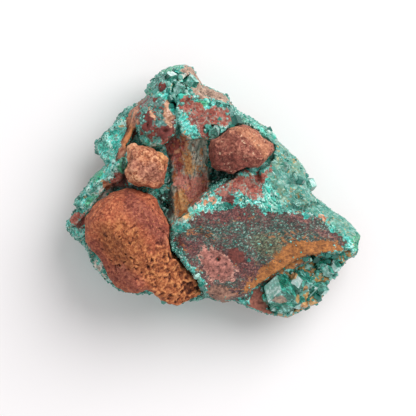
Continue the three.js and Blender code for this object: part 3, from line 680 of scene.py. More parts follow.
# %% Colours, and a finish under construction
class Finish(Tree):
    """A tree that mixes colours, reads painted zones and closes as a material."""

    def zone(self, name, fray, crisp=0.1, ragged=None):
        """1 inside a painted outline and 0 outside, with an edge that frays."""
        if self.ragged is None:
            self.ragged = self.noise(1.2, 5, 0.62) - 0.5
        ragged = self.ragged if ragged is None else ragged - 0.5
        return (self.layer(name) + ragged * (4 * fray)).step(-crisp, crisp)

    def mix(self, under, over, share):
        """One colour over another."""
        inputs = {"Factor": share, "A": under, "B": over}
        return self.node("ShaderNodeMix", {"data_type": "RGBA"}, inputs)["Result"]

    def shades(self, value, *stops):
        """A colour that goes from shade to shade as the value rises."""
        first_at, colour = stops[0]
        for at, shade in stops[1:]:
            colour = self.mix(colour, shade, value.step(first_at, at))
            first_at = at
        return colour

    def tones(self, value, dark, pale, low=0.34, high=0.66):
        """A colour that runs from dark to pale."""
        return self.shades(value, (low, dark), (high, pale))

    def bump(self, height, depth, under=None):
        inputs = {"Height": height, "Distance": depth, "Strength": 1.0}
        if under is not None:
            inputs["Normal"] = under
        return self.node("ShaderNodeBump", None, inputs)["Normal"]

    def shader(self, inputs):
        return self.node("ShaderNodeBsdfPrincipled", None, inputs)["BSDF"]

    def surface(self, shader, inner=None):
        """Closes the tree with a shader, and an absorbing inside where it is given."""
        ends = {"Surface": shader}
        if inner is not None:
            ends["Volume"] = self.node("ShaderNodeVolumeAbsorption", None, inner)["Volume"]
        self.node("ShaderNodeOutputMaterial", None, ends)
        return self.material


# %% Colour laid on in glazes
class Paint:
    """A colour that grows glaze by glaze, as a painter works."""

    def __init__(self, look, ground):
        self.look = look
        self.colour = ground

    def glaze(self, over, share):
        self.colour = self.look.mix(self.colour, over, share)

    def stain(self, name, fray, value, dark, pale, strength=1.0, **edge):
        """Glazes a painted zone with a stain that runs from dark to pale."""
        self.glaze(self.look.tones(value, dark, pale), self.look.zone(name, fray, **edge) * strength)


# %% [markdown]
# ## The rock: its finish
#
# Dioptase crust runs from bottle green through teal to pale mint. Here that colour is partly
# painted light and shade: darker in hollows and where crystals meet, lifted in the bright and
# flank outlines and on the left, and each crystal face, from packed grains of two sizes, gets its
# own lightness, as if it caught the lamp its own way. The stains go over the crust one by one.
# Each outline was painted as a depth, and noise added to that depth frays the stain's edge crisply.

# %% The crust's colour, with painted light and shade
look = Finish("crusted rock")
hollow, right = look.layer("hollow"), look.layer("right")
fine = look.noise(0.55, 4)
cloud = look.noise(4.5, 3)
strokes = look.streaks(-40, 5, 0.5, 3) * right + look.streaks(52, 4, 0.55, 3) * (1 - right)
_, face, wide_plane = look.cells(1.3)
speck, chip, small_plane = look.cells(0.5)
# Each crystal face, from the packed grains, gets its own lightness: painted light, as if each face caught
# the lamp its own way.
tone = 0.35 * fine + 0.35 * cloud + 0.5 * strokes + 0.2 * face + 0.14 * chip
# Painted shade makes the crust darker in hollows; painted light lifts it in the bright and flank outlines
# and on the left, where the lamp leaves it dim.
tone_with_light_and_shade = tone + 0.2 * (0.5 - hollow) + 0.05 * look.zone("bright", 0.5, 0.5) - 0.178
tone_with_light_and_shade = tone_with_light_and_shade + 0.035 * (1 - right) + 0.18 * look.zone("flank", 0.5, 0.5)
teal = look.shades(
    tone_with_light_and_shade,
    (0.32, (4, 90, 78)),
    (0.42, (22, 154, 138)),
    (0.52, (68, 205, 190)),
    (0.62, (110, 232, 218)),
    (0.76, (204, 246, 236)),
)
coat = Paint(look, teal)
glint = look.noise(0.9, 3).step(0.56, 0.62) * look.noise(3.6, 2).step(0.46, 0.56)
coat.glaze((46, 212, 182), glint.held() * 0.85)
coat.glaze((14, 70, 62), look.cracks(20, 2, 1.1, 900) * 0.55)

# %% Where the crust is worn, green or vivid, and where it is dimmer, with painted shade on the lobe
slope = look.zone("slope", 1, 1)
soft_green = look.shades(
    0.5 * look.streaks(-40, 2.5, 1.4, 4) + 0.5 * look.noise(0.4, 3),
    (0.38, (50, 96, 84)),
    (0.5, (88, 126, 110)),
    (0.62, (136, 158, 132)),
)
coat.glaze(soft_green, slope * 0.7)
coat.glaze((150, 150, 104), look.streaks(-40, 2, 1.8, 4).step(0.48, 0.64) * slope * 0.5)
golden = look.noise(3, 1) + 0.14 * look.oval((-19.4, 13.2), (2.6, 3.2)).step(0, 0.3)
gold_fleck = (chip.step(0.9, 0.93) * golden.step(0.48, 0.56)).held()
coat.glaze((206, 160, 92), gold_fleck * 0.8)
coat.stain("emerald", 0.5, fine, (0, 92, 62), (84, 214, 158), 0.9)
coat.stain("vivid", 0.5, fine, (0, 150, 122), (124, 246, 224), 0.9)
# Dimmer, greyer teal in the dim outlines, and painted shade on the lobe.
dim_colour = look.shades(fine, (0.36, (26, 54, 50)), (0.64, (98, 134, 124)))
coat.glaze(dim_colour, look.zone("dim", 0.6, 0.4) * 0.8)

# %% The slab's own colour, in a paint apart
# This grain runs darker in hollows: painted shade that every stain drawn from it carries.
grit_with_hollow_shade = 0.85 * fine + 0.15 * chip + 0.35 * (0.5 - hollow) + 0.02
along_slab = look.streaks(-12, 3, 0.5, 3)
slab_grain = look.noise(0.34, 2, 0.7)
tiny = look.streaks(30, 1.5, 0.34, 2, 0.75)
granular = look.shades(
    0.2 * grit_with_hollow_shade + 0.3 * along_slab + 0.5 * slab_grain,
    (0.38, (20, 12, 14)),
    (0.46, (74, 38, 40)),
    (0.55, (116, 68, 66)),
    (0.66, (184, 140, 130)),
)
slab = Paint(look, granular)
ruddy = look.ovals(
    ((3, -5.2), (8, 2.4)), ((-3.8, -9.6), (3, 2.6)), ((6.5, -16), (4, 3)), ((-7.4, -9.8), (1.8, 3.2))
).step(0.0, 0.5)
reddish = (look.streaks(-14, 2, 3.4, 3) + 0.1 * ruddy).step(0.48, 0.58)
slab.glaze(look.tones(slab_grain, (46, 14, 16), (138, 66, 62), 0.4, 0.6), reddish * 0.65)

# %% Green speckles, moss and embers on the slab
patch = 0.6 * look.streaks(-14, 2.5, 1.6, 4, 0.6) + 0.4 * look.noise(4, 1)
spread = (patch + 0.15 * look.zone("speckled", 1.5, 1.2) - 0.12 * ruddy).step(0.46, 0.61)
speckled = look.streaks(-16, 1.7, 0.34, 2, 0.7).step(0.46, 0.51)
speckle_colour = look.shades(
    tiny, (0.42, (4, 20, 22)), (0.48, (26, 62, 58)), (0.57, (84, 132, 118)), (0.67, (186, 222, 208))
)
slab.glaze(speckle_colour, (speckled * (0.12 + 0.88 * spread)).held())
slab.glaze((62, 100, 86), spread * 0.32)
mossy = (look.oval((11.6, -10.8), (4.4, 2.4)) + 2 * (patch - 0.5)).step(-0.1, 0.4)
slab.glaze(look.tones(tiny, (44, 52, 34), (138, 140, 100), 0.4, 0.6), mossy * 0.55)
near_ochre = 0.8 * (look.layer("ochre") + 2.6).step(0.0, 2.6)
glowing = look.streaks(-14, 3, 2.4, 1).step(0.57, 0.65) + near_ochre
glowing = glowing + look.oval((14.4, -8.8), (5, 1.1)).step(0.0, 0.4)
slab.glaze((176, 112, 62), (look.streaks(-8, 2, 0.45, 3).step(0.54, 0.6) * glowing).held() * 0.8)
slab.glaze((26, 20, 24), look.cracks(-16, 3, 1.4, 1600) * 0.6)

# %% Lay the slab and its own stains over the crust
coat.stain("dust", 1.4, grit_with_hollow_shade, (160, 122, 110), (250, 228, 214), 0.8)
coat.glaze(slab.colour, look.zone("slab", 1.7, 0.25))
coat.stain("brown", 0.8, grit_with_hollow_shade, (72, 40, 34), (168, 124, 104))
coat.stain("pink", 0.7, 0.5 * grit_with_hollow_shade + 0.5 * tiny, (58, 20, 20), (196, 126, 112))
pink_rim = look.zone("pink", 0.7) * (1 - (look.layer("pink") * 1.5).held()) * tiny.step(0.46, 0.54)
coat.glaze((222, 172, 154), pink_rim * 0.7)
coat.stain("crimson", 0.4, grit_with_hollow_shade, (66, 20, 18), (126, 60, 50))
print("slab painted with", len(look.tree.nodes), "nodes so far")

# %% The valley: streaks of purple, rust and gold
fibre = look.streaks(80, 6, 0.35, 4)
coat.stain("valley", 0.3, 0.8 * fibre + 0.2 * fine, (66, 70, 62), (255, 250, 230))
valley = look.zone("valley", 0.3)
coat.glaze((104, 150, 136), look.streaks(82, 5, 0.8, 3).step(0.5, 0.58) * valley * 0.45)
drawn = 0.6 * look.streaks(78, 4, 0.7, 5, 0.65) + 0.4 * look.noise(0.9, 5, 0.65)
reds = 0.5 * fibre + 0.5 * grit_with_hollow_shade
VALLEY_STAINS = (
    ("purple", 1.6, reds, (132, 50, 46), (246, 164, 144)),
    ("rusty", 1.6, reds, (96, 26, 28), (216, 112, 98)),
    ("gold", 1.6, 0.4 * fibre + 0.6 * grit_with_hollow_shade, (190, 110, 60), (255, 206, 138)),
)
for row in VALLEY_STAINS:
    coat.stain(*row, crisp=0.4, ragged=drawn)
nugget = look.noise(0.9, 3).step(0.57, 0.61) * look.zone("valley", 0.2)
coat.glaze(look.tones(grit_with_hollow_shade, (150, 76, 40), (240, 164, 104)), nugget * 0.85)
fleck_colour = look.mix((40, 30, 26), (92, 142, 126), look.noise(1.1, 2).step(0.46, 0.5))
coat.glaze(fleck_colour, look.noise(0.4, 2, 0.7).step(0.57, 0.62) * valley * 0.55)

# %% The grey ridge and the pale seam, with the lines that run along them
coat.stain("ridge", 0.5, 0.6 * fibre + 0.4 * grit_with_hollow_shade, (84, 62, 50), (208, 172, 150))
bark = look.streaks(-38, 4, 0.7, 4, 0.65).step(0.53, 0.57) * look.zone("ridge", 0.3)
coat.glaze((78, 58, 48), bark * 0.5)
coat.stain("seam", 0.5, 0.4 * fibre + 0.3 * grit_with_hollow_shade + 0.3 * tiny, (122, 50, 34), (255, 188, 152))
seam = look.zone("seam", 0.5)
seam_foot = look.oval((-16.8, 10.6), (1.8, 3.6)).step(0.0, 0.4) * seam
coat.glaze(look.tones(grit_with_hollow_shade, (120, 56, 26), (226, 142, 80), 0.4, 0.6), seam_foot * 0.8)
seam_line = look.streaks(66, 5, 0.8, 3).step(0.54, 0.59) * look.zone("seam", 0.4)
coat.glaze((78, 36, 26), seam_line * 0.6)
coat.glaze((58, 28, 22), seam * (1 - (look.layer("seam") * 1.3).held()) * 0.75)

# %% Ochre, and red that soaked in unevenly
coat.stain("ochre", 0.9, 0.5 * along_slab + 0.5 * grit_with_hollow_shade, (104, 56, 22), (200, 128, 64))
ochre_speck = look.noise(0.45, 3, 0.7).step(0.55, 0.6) * look.zone("ochre", 0.9)
coat.glaze((96, 48, 28), ochre_speck * 0.6)
coat.stain("facet", 0.3, grit_with_hollow_shade, (104, 50, 40), (170, 102, 84))
wander = look.node("ShaderNodeTexNoise", None, {"Vector": look.where, "Scale": 0.9, "Detail": 3.0})
inputs = {"Vector": wander["Color"], "Vector_001": (2.4, 2.4, 2.4), "Vector_002": look.where}
bent = look.node("ShaderNodeVectorMath", {"operation": "MULTIPLY_ADD"}, inputs)["Vector"]
settings = {"feature": "DISTANCE_TO_EDGE"}
vein = look.node("ShaderNodeTexVoronoi", settings, {"Vector": bent, "Scale": 0.4})["Distance"]
mottle = look.noise(0.7, 4, 0.7).step(0.38, 0.44)
blotch = look.zone("red", 0.9) * (0.6 + 0.4 * vein.step(0.01, 0.03)) * (0.7 + 0.3 * mottle)
red_colour = look.shades(
    0.4 * grit_with_hollow_shade + 0.2 * cloud + 0.4 * tiny, (0.36, (72, 24, 20)), (0.5, (142, 64, 52)), (0.64, (190, 108, 90))
)
red_colour = look.mix(red_colour, (166, 124, 110), look.noise(1.1, 4).step(0.5, 0.6) * 0.35)
coat.glaze(red_colour, blotch)
lobe_red = look.noise(1.6, 4) - 0.08 * look.oval((-10.4, 17.6), (3, 2)).step(0.0, 0.4)
lobe_red = lobe_red.step(0.48, 0.53) * look.zone("lobe", 0.5)
gritty = 0.5 * grit_with_hollow_shade + 0.5 * tiny
coat.glaze(look.tones(gritty, (58, 20, 18), (150, 74, 62)), lobe_red)

# %% Small stains, the crystals' bed, the back and the shadows
coat.stain("orange", 0.3, grit_with_hollow_shade, (170, 92, 62), (232, 170, 132))
coat.stain("cream", 0.2, fine, (180, 190, 176), (244, 240, 228))
coat.stain("pits", 0.6, gritty, (36, 8, 10), (126, 52, 44))
coat.stain("tan", 0.5, grit_with_hollow_shade, (134, 78, 56), (222, 168, 134))
bed = look.zone("bed", 0.3) * look.noise(1.5, 4).step(0.36, 0.42)
coat.glaze(look.tones(grit_with_hollow_shade, (140, 92, 50), (208, 160, 100)), bed)
back_colour = look.shades(
    0.6 * grit_with_hollow_shade + 0.4 * cloud, (0.34, (92, 72, 58)), (0.5, (146, 122, 102)), (0.66, (188, 168, 144))
)
coat.glaze(back_colour, look.layer("under") * look.noise(9, 3).step(0.42, 0.54))
# Painted shade in the gaps beside the lumps and in crevices, dark green going to brown.
gap_shade_colour = look.shades(cloud, (0.46, (4, 46, 36)), (0.56, (34, 30, 24)))
coat.glaze(gap_shade_colour, look.zone("gap", 0.5, 0.3) * 0.9)
lit = valley.larger(look.zone("lobe", 0.3))
shadow = (look.layer("deep_shade") - 0.58).larger(0.0) * (1.2 - lit)
coat.glaze((8, 20, 18), shadow.held() * 0.65)

# %% Close the rock's material
dull = look.zone("slab", 0.8)
for name in ("valley", "ochre", "red", "ridge", "facet", "seam", "pits"):
    dull = dull.larger(look.zone(name, 0.5))
grain_bump = look.bump(0.6 * fine + 0.3 * strokes + 0.3 * speck * dull, 0.14 * MM)
normal = look.bump((0.6 * wide_plane + 0.9 * small_plane) * (1 - dull), 1 * MM, grain_bump)
inputs = {"Base Color": coat.colour, "Roughness": 0.26 + 0.54 * dull, "Normal": normal, "IOR": 1.6}
rock.finish("crusted_rock", look.surface(look.shader(inputs)))
print("the rock's material has", len(look.tree.nodes), "nodes")

# %% [markdown]
# ## Three lumps of limonite
#
# Limonite is the rust of iron ore. It is earthy and never shines. The three lumps differ in
# grain: one is spongy with a web of thin walls, one is a bunch of rounded knobs, and one broke
# into blunt angles. Each gets its own relief from the same few kinds of noise.

# %% One earthy finish, in three tones
def earthy(name, dark, middle, light, stains, bits=None):
    """Rust that is dark in its pits and pale on its grains, with painted shade in its hollows and a
    painted shadow in its deepest ones. Each stain is a painted layer, its fray, how crisp its edge
    is, its strength and its colours from dark to pale."""
    look = Finish(name)
    grain = look.noise(0.5, 4)
    speck, chip, _ = look.cells(0.42)
    tone = 0.4 * grain + 0.3 * look.noise(3.5, 3) + 0.16 * chip + 0.3 * look.noise(0.3, 2, 0.75)
    # Painted shade: darker in hollows, paler on ridges.
    tone_with_light_and_shade = tone + 0.75 * (0.5 - look.layer("hollow")) - 0.08
    rust = Paint(look, look.shades(tone_with_light_and_shade, (0.3, dark), (0.5, middle), (0.68, light)))
    for layer, fray, crisp, strength, *colours in stains:
        stops = zip(np.linspace(0.3, 0.7, len(colours)).tolist(), colours)
        rust.glaze(look.shades(tone_with_light_and_shade, *stops), look.zone(layer, fray, crisp) * strength)
    if bits:
        rust.glaze(bits, look.noise(0.7, 2).step(0.64, 0.7) * 0.6)
    pitted = look.noise(0.5, 3, 0.75)
    crowd = look.noise(2.4, 3).step(0.44, 0.58)
    rust.glaze(dark, pitted.step(0.55, 0.6) * (0.2 + 0.55 * crowd))
    rust.glaze(light, (1 - pitted.step(0.4, 0.45)) * (0.55 - 0.3 * crowd))
    # A painted shadow in the deepest hollows and caves.
    deep_shade = (look.layer("deep_shade") - 0.6).larger(0.0) * 1.6
    rust.glaze((34, 14, 10), deep_shade.held() * 0.8)
    normal = look.bump(grain + 0.5 * speck, 0.22 * MM)
    inputs = {"Base Color": rust.colour, "Roughness": 0.85, "Normal": normal, "IOR": 1.45}
    return look.surface(look.shader(inputs))


# %% Where the porous lump is spongy, pitted or purple
SPONGE = [
    (-9.8, -9), (-8.6, -10.4), (-8.2, -12), (-5, -15.4), (-1, -20.6), (-3, -22), (-7.4, -23.4),
    (-10.8, -21.6), (-13, -18), (-13.4, -14.4), (-11.4, -12),
]
PITTED = [
    (-22.4, -6.8), (-18.4, -5.6), (-14.8, -7.6), (-12.4, -12), (-9.2, -12.4), (-6, -16), (-2, -21.2),
    (-7.6, -22.8), (-10.8, -21.2), (-14, -17.2), (-18.4, -16), (-22, -12),
]
PURPLE_BANDS = [
    [(-17.2, 0.4), (-14.4, -1.2), (-11.6, -4), (-9.2, -6.8), (-8.8, -11.2), (-10.8, -10.4), (-12.8, -8),
     (-15.6, -6), (-17.6, -3.2)],
    [(-25.2, -8.4), (-22.4, -10.8), (-20, -14.8), (-17.6, -14.4), (-13.6, -18), (-14, -20), (-16.8, -20),
     (-20.4, -17.6), (-23.6, -14)],
]
print("purple bands on the porous lump:", len(PURPLE_BANDS))

# %% The porous lump
porous = Skin("porous_nodule", 0.2, 0.35, rub=30)
p = porous.points
spongy = soft(inside(frayed(p, 2.4, 1.6), SPONGE), 1.6)
pitted = soft(inside(frayed(p, 2.4, 1.6), PITTED), 2)
clustered = np.clip(0.7 * swell(p, 2.6, 88, 3) + 0.45 * pitted - 0.1, 0, 1) * (1 - 0.6 * spongy)
pores = np.clip(3 * (swell(p, 0.75, 87, 3) - 0.25), 0, 1) * clustered
caves = np.clip(2.4 * (swell(p, 2.2, 83, 4) - 0.3), 0, 1) * spongy
holes = np.clip(3 * (swell(p, 1.3, 86, 4) - 0.3), 0, 1) * spongy * np.clip(0.5 + swell(p, 3, 84, 1), 0, 1)
lumpy = swell(p, 0.7, 82, 2) * spongy
rough = 0.1 * swell(p, 0.8, 89, 3) + 0.25 * lumpy - 0.5 * pores - 0.7 * caves - 0.35 * holes
porous.push((rough + 0.3 * swell(p, 4.2, 85, 3)) * np.clip((p[:, 2] - 8.6) / 2, 0.2, 1))
p = porous.points
# Painted shade: the finish darkens the sunken parts and lays a painted shadow in caves and holes.
sunk = porous.average(rough[:, None], 12)[:, 0] - rough
porous.paint("hollow", np.clip(0.5 + sunk / 0.5, 0, 1))
porous.paint("deep_shade", np.clip(0.5 + 0.3 * caves + 0.2 * holes, 0, 1))
porous.paint("ochre", np.clip(any_of(inside(p, PITTED), inside(p, SPONGE)), -3, 3))
porous.paint("purple", np.clip(any_of(*(inside(p, band) for band in PURPLE_BANDS)), -3, 3))
porous_stains = (
    ("ochre", 1.2, 0.8, 0.9, (70, 26, 10), (150, 80, 42), (210, 138, 84)),
    ("purple", 0.8, 0.8, 0.85, (80, 28, 24), (138, 68, 56), (178, 106, 88)),
)
porous_finish = earthy("porous rust", (84, 28, 16), (166, 82, 54), (222, 140, 96), porous_stains)
porous.finish("porous_lump", porous_finish)

# %% The knobby lump
knobby = Skin("knobby_nodule", 0.13, 0.25, rub=6)
p = knobby.points
near, _, pick, _ = grains(p, 1.9, 101)
knobs = np.sqrt(np.clip(1 - (near / 1.4) ** 2, 0, 1))
knobby.push(0.3 * (knobs - 0.6) * pick + 0.5 * swell(p, 2.8, 105, 2) + 0.15 * swell(p, 0.8, 103, 3))
p = knobby.points
# Painted shade: the finish darkens hollows and lays a painted shadow in the deepest.
knobby.paint("hollow", knobby.hollows(8, 0.12))
knobby.paint("deep_shade", knobby.hollows(50, 0.4))
knobby.paint("ochre", inside(p, [(-11, 8.6), (-7.6, 8), (-8.6, 5.4), (-9.8, 4.4), (-10.6, 6.4)]))
dusky = [((-12.4, 3.6), (2.8, 1.8), -20), ((-9.6, 2.6), (1.8, 1.4)), ((-15.6, 5.4), (1, 1.8))]
ruddy_rims = [((-8.8, 3.6), (1.2, 3)), ((-11.2, 0.6), (2.4, 0.9)), ((-12.6, 8.6), (1.6, 0.6))]
knobby.paint("purple", any_of(*(spot(p, *place) for place in dusky)))
knobby.paint("crimson", any_of(*(spot(p, *place) for place in ruddy_rims)))
knobby_stains = (
    ("ochre", 0.8, 0.3, 0.8, (150, 84, 42), (232, 170, 108)),
    ("purple", 0.8, 0.5, 0.8, (96, 46, 38), (188, 124, 104)),
    ("crimson", 0.9, 0.6, 0.8, (96, 34, 22), (196, 104, 72)),
)
knobby_finish = earthy("knobby rust", (108, 48, 32), (188, 114, 80), (232, 172, 132), knobby_stains)
knobby.finish("knobby_lump", knobby_finish)

# %% The angular lump
def chips(points, grain, seed=0):
    """Shallow scoops with ridges between, as on broken rust: about -1 to 1."""
    near, _, _, _ = grains(points, grain, seed)
    return np.clip(3 * (near / grain) ** 2 - 1, -1, 1)


angular = Skin("angular_nodule", 0.14, 0.25)
p = angular.points
angular.push(0.16 * chips(p, 2.2, 111) + 0.12 * swell(p, 2, 117, 2) + 0.12 * swell(p, 0.7, 113, 3))
p = angular.points
# Painted shade: the finish darkens hollows and lays a painted shadow in the deepest.
angular.paint("hollow", angular.hollows(8, 0.2))
angular.paint("deep_shade", angular.hollows(50, 0.4))
# The orange here is painted light on the lump's sunny side, toward the lamp.
sunny_side = [(3, 13), (8, 12), (11.4, 9), (10.6, 6), (8.8, 8), (6.6, 10.4), (3.6, 12)]
angular.paint("orange", inside(p, sunny_side))
angular.paint("crimson", inside(p, [(-1, 8), (0.4, 9), (3, 7.4), (7, 6.6), (8, 4), (0, 3)]))
angular_stains = (
    ("orange", 0.9, 0.5, 0.9, (136, 72, 50), (226, 160, 122)),
    ("crimson", 0.9, 0.5, 0.9, (56, 16, 16), (150, 78, 66)),
)
angular_tones = ((66, 24, 20), (128, 66, 54), (186, 122, 100))
angular_finish = earthy("angular rust", *angular_tones, angular_stains, bits=(226, 190, 158))
angular.finish("angular_lump", angular_finish)

# %% [markdown]
# ## Dioptase crystals
#
# Dioptase grows as six-sided prisms that end in three rhombic faces. A particle system could
# scatter copies over the rock, but here each crystal is drawn into one joined mesh. That keeps
# every crystal a real, solid form, and lets its size, lean and tint follow the ground it stands
# on.

# %% One crystal
CORNERS = 13  # six at the foot, six at the shoulder and the tip
RHOMB_DROP = 0.53  # the shoulder's corners drop once or twice this below the tip, in radii
SIDES = [(c, (c + 1) % 6, 6 + (c + 1) % 6, 6 + c) for c in range(6)]
RHOMBS = [(12, 6 + c, 6 + (c + 1) % 6, 6 + (c + 2) % 6) for c in (0, 2, 4)]
FOOT = (5, 4, 3, 2, 1, 0)


def crystal_points(root, way, radius, length, turn):
    """The 13 corners of many crystals at once, in millimetres."""
    way = way / np.linalg.norm(way, axis=1)[:, None]
    aside = np.cross(way, np.where(np.abs(way[:, :1]) > 0.9, [[0.0, 1, 0]], [[1.0, 0, 0]]))
    aside /= np.linalg.norm(aside, axis=1)[:, None]
    across = np.cross(way, aside)
    corners = []
    for level in ("root", "shoulder"):
        for c in range(6):
            angle = turn + c * math.pi / 3
            drop = (1 + c % 2) * RHOMB_DROP * radius
            height = 0 * length if level == "root" else length - drop
            ring = aside * np.cos(angle)[:, None] + across * np.sin(angle)[:, None]
            corners.append(root + ring * radius[:, None] + way * height[:, None])
    corners.append(root + way * length[:, None])
    return np.stack(corners, axis=1)


def crystal_mesh(name, corners, tints):
    """Joins crystals in one mesh, each with its own tint from 0 to 1."""
    count = len(corners)
    faces = [[v + CORNERS * n for v in face] for n in range(count) for face in (*SIDES, *RHOMBS, FOOT)]
    mesh = bpy.data.meshes.new(name)
    mesh.from_pydata((corners.reshape(-1, 3) * MM).tolist(), [], faces)
    layer = mesh.attributes.new("tint", "FLOAT", "POINT")
    layer.data.foreach_set("value", np.repeat(tints, CORNERS).astype(np.float32))
    return mesh


# %% Plant small crystals on the rock
def unit(ways):
    return ways / np.linalg.norm(ways, axis=1)[:, None]


def picked(random, count, weight):
    """Points of the rock, more often where the weight is high, with the way out of each."""
    chosen = random.choice(len(weight), count, replace=False, p=weight / weight.sum())
    return rock.points[chosen], rock.normals[chosen]


def planted(name, random, root, way, radius, length):
    """Crystals turned at random, less those that pass the solids' box. Gives corners and tints."""
    count = len(radius)
    corners = crystal_points(root, way, radius, length, 2 * math.pi * random.random(count))
    low, high = (np.array(corner) / MM for corner in cad_box)
    fits = ((corners > low) & (corners < high)).all(axis=(1, 2))
    print(name, "has", int(fits.sum()), "crystals")
    return corners[fits], random.random(count)[fits]


def scatter(name, count, sizes, weight, seed, lean):
    """Short crystals that stand on the rock, each with a lean of its own."""
    random = np.random.default_rng(seed)
    foot, out = picked(random, count, weight)
    radius = sizes[0] + (sizes[1] - sizes[0]) * random.random(count) ** 2.5
    way = unit(out + lean * random.normal(size=(count, 3)))
    stand = radius * (0.3 + 0.9 * random.random(count))
    return planted(name, random, foot - way * 1.6 * radius[:, None], way, radius, stand + 1.6 * radius)


# %% Where the crust may grow
def clear_of_lumps(points):
    """1 on open rock, 0 where another solid sits against it."""
    gap = np.full(len(points), 9.0)
    for node in frame["nodes"]:
        if node == rock.node:
            continue
        mesh = frame["nodes"][node].data
        tree = BVHTree.FromPolygons([v.co / MM for v in mesh.vertices], [f.vertices for f in mesh.polygons])
        low, high = (np.array(corner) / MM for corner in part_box(node))
        near_box = ((points > low - 1) & (points < high + 1)).all(axis=1)
        for n in np.flatnonzero(near_box):
            found = tree.find_nearest(Vector(points[n]), 1.0)
            if found[0] is not None:
                gap[n] = min(gap[n], found[3])
    return np.clip((gap - 0.45) / 0.2, 0, 1)


def on(name):
    return soft(rock.layers[name], 0.6)


open_skin = clear_of_lumps(rock.points)
bare = np.clip(sum(on(name) for name in plain), 0, 1)
soaked = ("red", "pits", "tan", "crimson", "orange", "cream", "rusty")
stains = np.clip(sum(on(name) for name in soaked), 0, 1)
worn = soft(inside(rock.points, RIGHT_SLOPE), 2)
crusty = (1 - bare) * (1 - 0.97 * stains) * open_skin
crusty *= np.clip(0.4 + swell(rock.points, 3, 121, 2), 0.05, 1) * (1 - 0.4 * rock.layers["right"])
crusty *= 1 - 0.9 * worn
crusty *= np.where(rock.normals[:, 2] < -0.25, 0.06, 1) * (1 - 0.8 * on("bed")) * (1 - 0.7 * on("lobe"))
crusty *= (1 - 0.85 * on("gap")) * (1 - 0.95 * on("emerald"))
crusty += 0.008 * on("slab") * open_skin
crusty *= rock.points[:, 2] > 0.8
print("open skin:", round(100 * open_skin.mean()), "% of the points")

# %% Grow the crust
fine_corners, fine_tints = scatter("fine crust", 8000, (0.09, 0.27), crusty, 131, 0.9)
crust = crystal_mesh("fine_crust", fine_corners, fine_tints)
print("fine crust spans", np.ptp(fine_corners.reshape(-1, 3), axis=0).round(1), "mm")

bright_ground = crusty * np.clip(swell(rock.points, 4, 125, 2), 0, 1)
bold_corners, bold_tints = scatter("bold crust", 260, (0.3, 0.62), bright_ground, 133, 0.7)
bed_ground = on("bed") * open_skin * (rock.normals[:, 2] > 0.1)
bed_corners, bed_tints = scatter("bed crystals", 46, (0.3, 0.8), bed_ground, 135, 0.45)

# %% Groups of prisms
GROUPS = {  # each prism: its foot, the way it points, its radius, its length and its turn
    "corner_crystals": [
        ((12.9, -20.7, 8.2), (0.08, 0.12, 1), 2.9, 8.2, 12),
        ((15.8, -18.9, 8.4), (0.34, 0.2, 1), 1.7, 6.4, 40),
        ((15.9, -21.4, 8.2), (0.3, -0.2, 1), 1.6, 5.4, 5),
        ((18.5, -19.4, 8), (0.05, 0.25, 1), 1.2, 5.4, 22),
        ((18.2, -22, 8.6), (0.75, 0.8, 0.5), 1.15, 5.4, 50),
        ((20.9, -19, 8), (0.3, -0.2, 1), 1.2, 4.8, 30),
        ((17.3, -17.3, 8.2), (0.02, 0.12, 1), 1.2, 5.2, 0),
        ((12.4, -22.8, 8.6), (-0.05, -0.1, 1), 1.1, 3.6, 18),
        ((15, -23.1, 8.6), (0.1, -0.1, 1), 1.1, 3.2, 48),
    ],
    "vug_crystals": [
        ((22.8, -15.7, 8.4), (0.05, -0.1, 1), 1.3, 4.2, 10),
        ((24.3, -15, 8.6), (0.1, -0.05, 1), 1.1, 3.8, 35),
        ((21.3, -15.2, 8.2), (0.1, 0.2, 1), 1, 4.2, 20),
    ],
    "edge_crystal": [((16.8, 1.3, 10), (1, -0.06, 0.1), 1.5, 4, 15)],
    "rosette_crystal": [((0.4, 12, 18.4), (-0.1, -0.2, 1), 1.1, 4.2, 0)],
    "peak_crystals": [
        ((-6.9, 20.3, 16.6), (0.1, -0.2, 1), 1.4, 4.6, 10),
        ((-5.2, 21.2, 16), (0.4, 0.1, 1), 1.3, 4.2, 30),
        ((-8, 22.2, 15), (-0.05, 0.1, 1), 1.2, 4.2, 55),
    ],
}
print("large prisms:", sum(len(prisms) for prisms in GROUPS.values()))

# %% Small crystals round the feet of the large ones
def skirt(random, count, root, way, radius, length, turn):
    """Small crystals that lean away from a prism, where it leaves the rock."""
    way = np.array(way) / np.linalg.norm(way)
    along = (rock.points - root) @ way
    aside = rock.points - root - along[:, None] * way
    off = np.linalg.norm(aside, axis=1)
    ring = (along > 0.1) & (along < length) & (off > 0.9 * radius) & (off < 1.7 * radius)
    ring = np.flatnonzero(ring & (rock.normals[:, 2] > 0.2))
    chosen = random.choice(ring, min(count, len(ring)), replace=False)
    small = min(radius, 1.5) * (0.2 + 0.22 * random.random(len(chosen)))
    lean = unit(way + 0.45 * aside[chosen] / off[chosen, None] + 0.25 * random.normal(size=(len(chosen), 3)))
    tall = small * (2.6 + 1.8 * random.random(len(chosen)))
    foot = rock.points[chosen] - 1.6 * small[:, None] * lean
    return crystal_points(foot, lean, small, tall, 2 * math.pi * random.random(len(chosen)))


random = np.random.default_rng(137)
skirts = np.concatenate(
    [skirt(random, 3 if len(prisms) > 8 else 6, *prism) for prisms in GROUPS.values() for prism in prisms]
)
skirt_tints = random.random(len(skirts))
print("crystals round the large ones:", len(skirts))

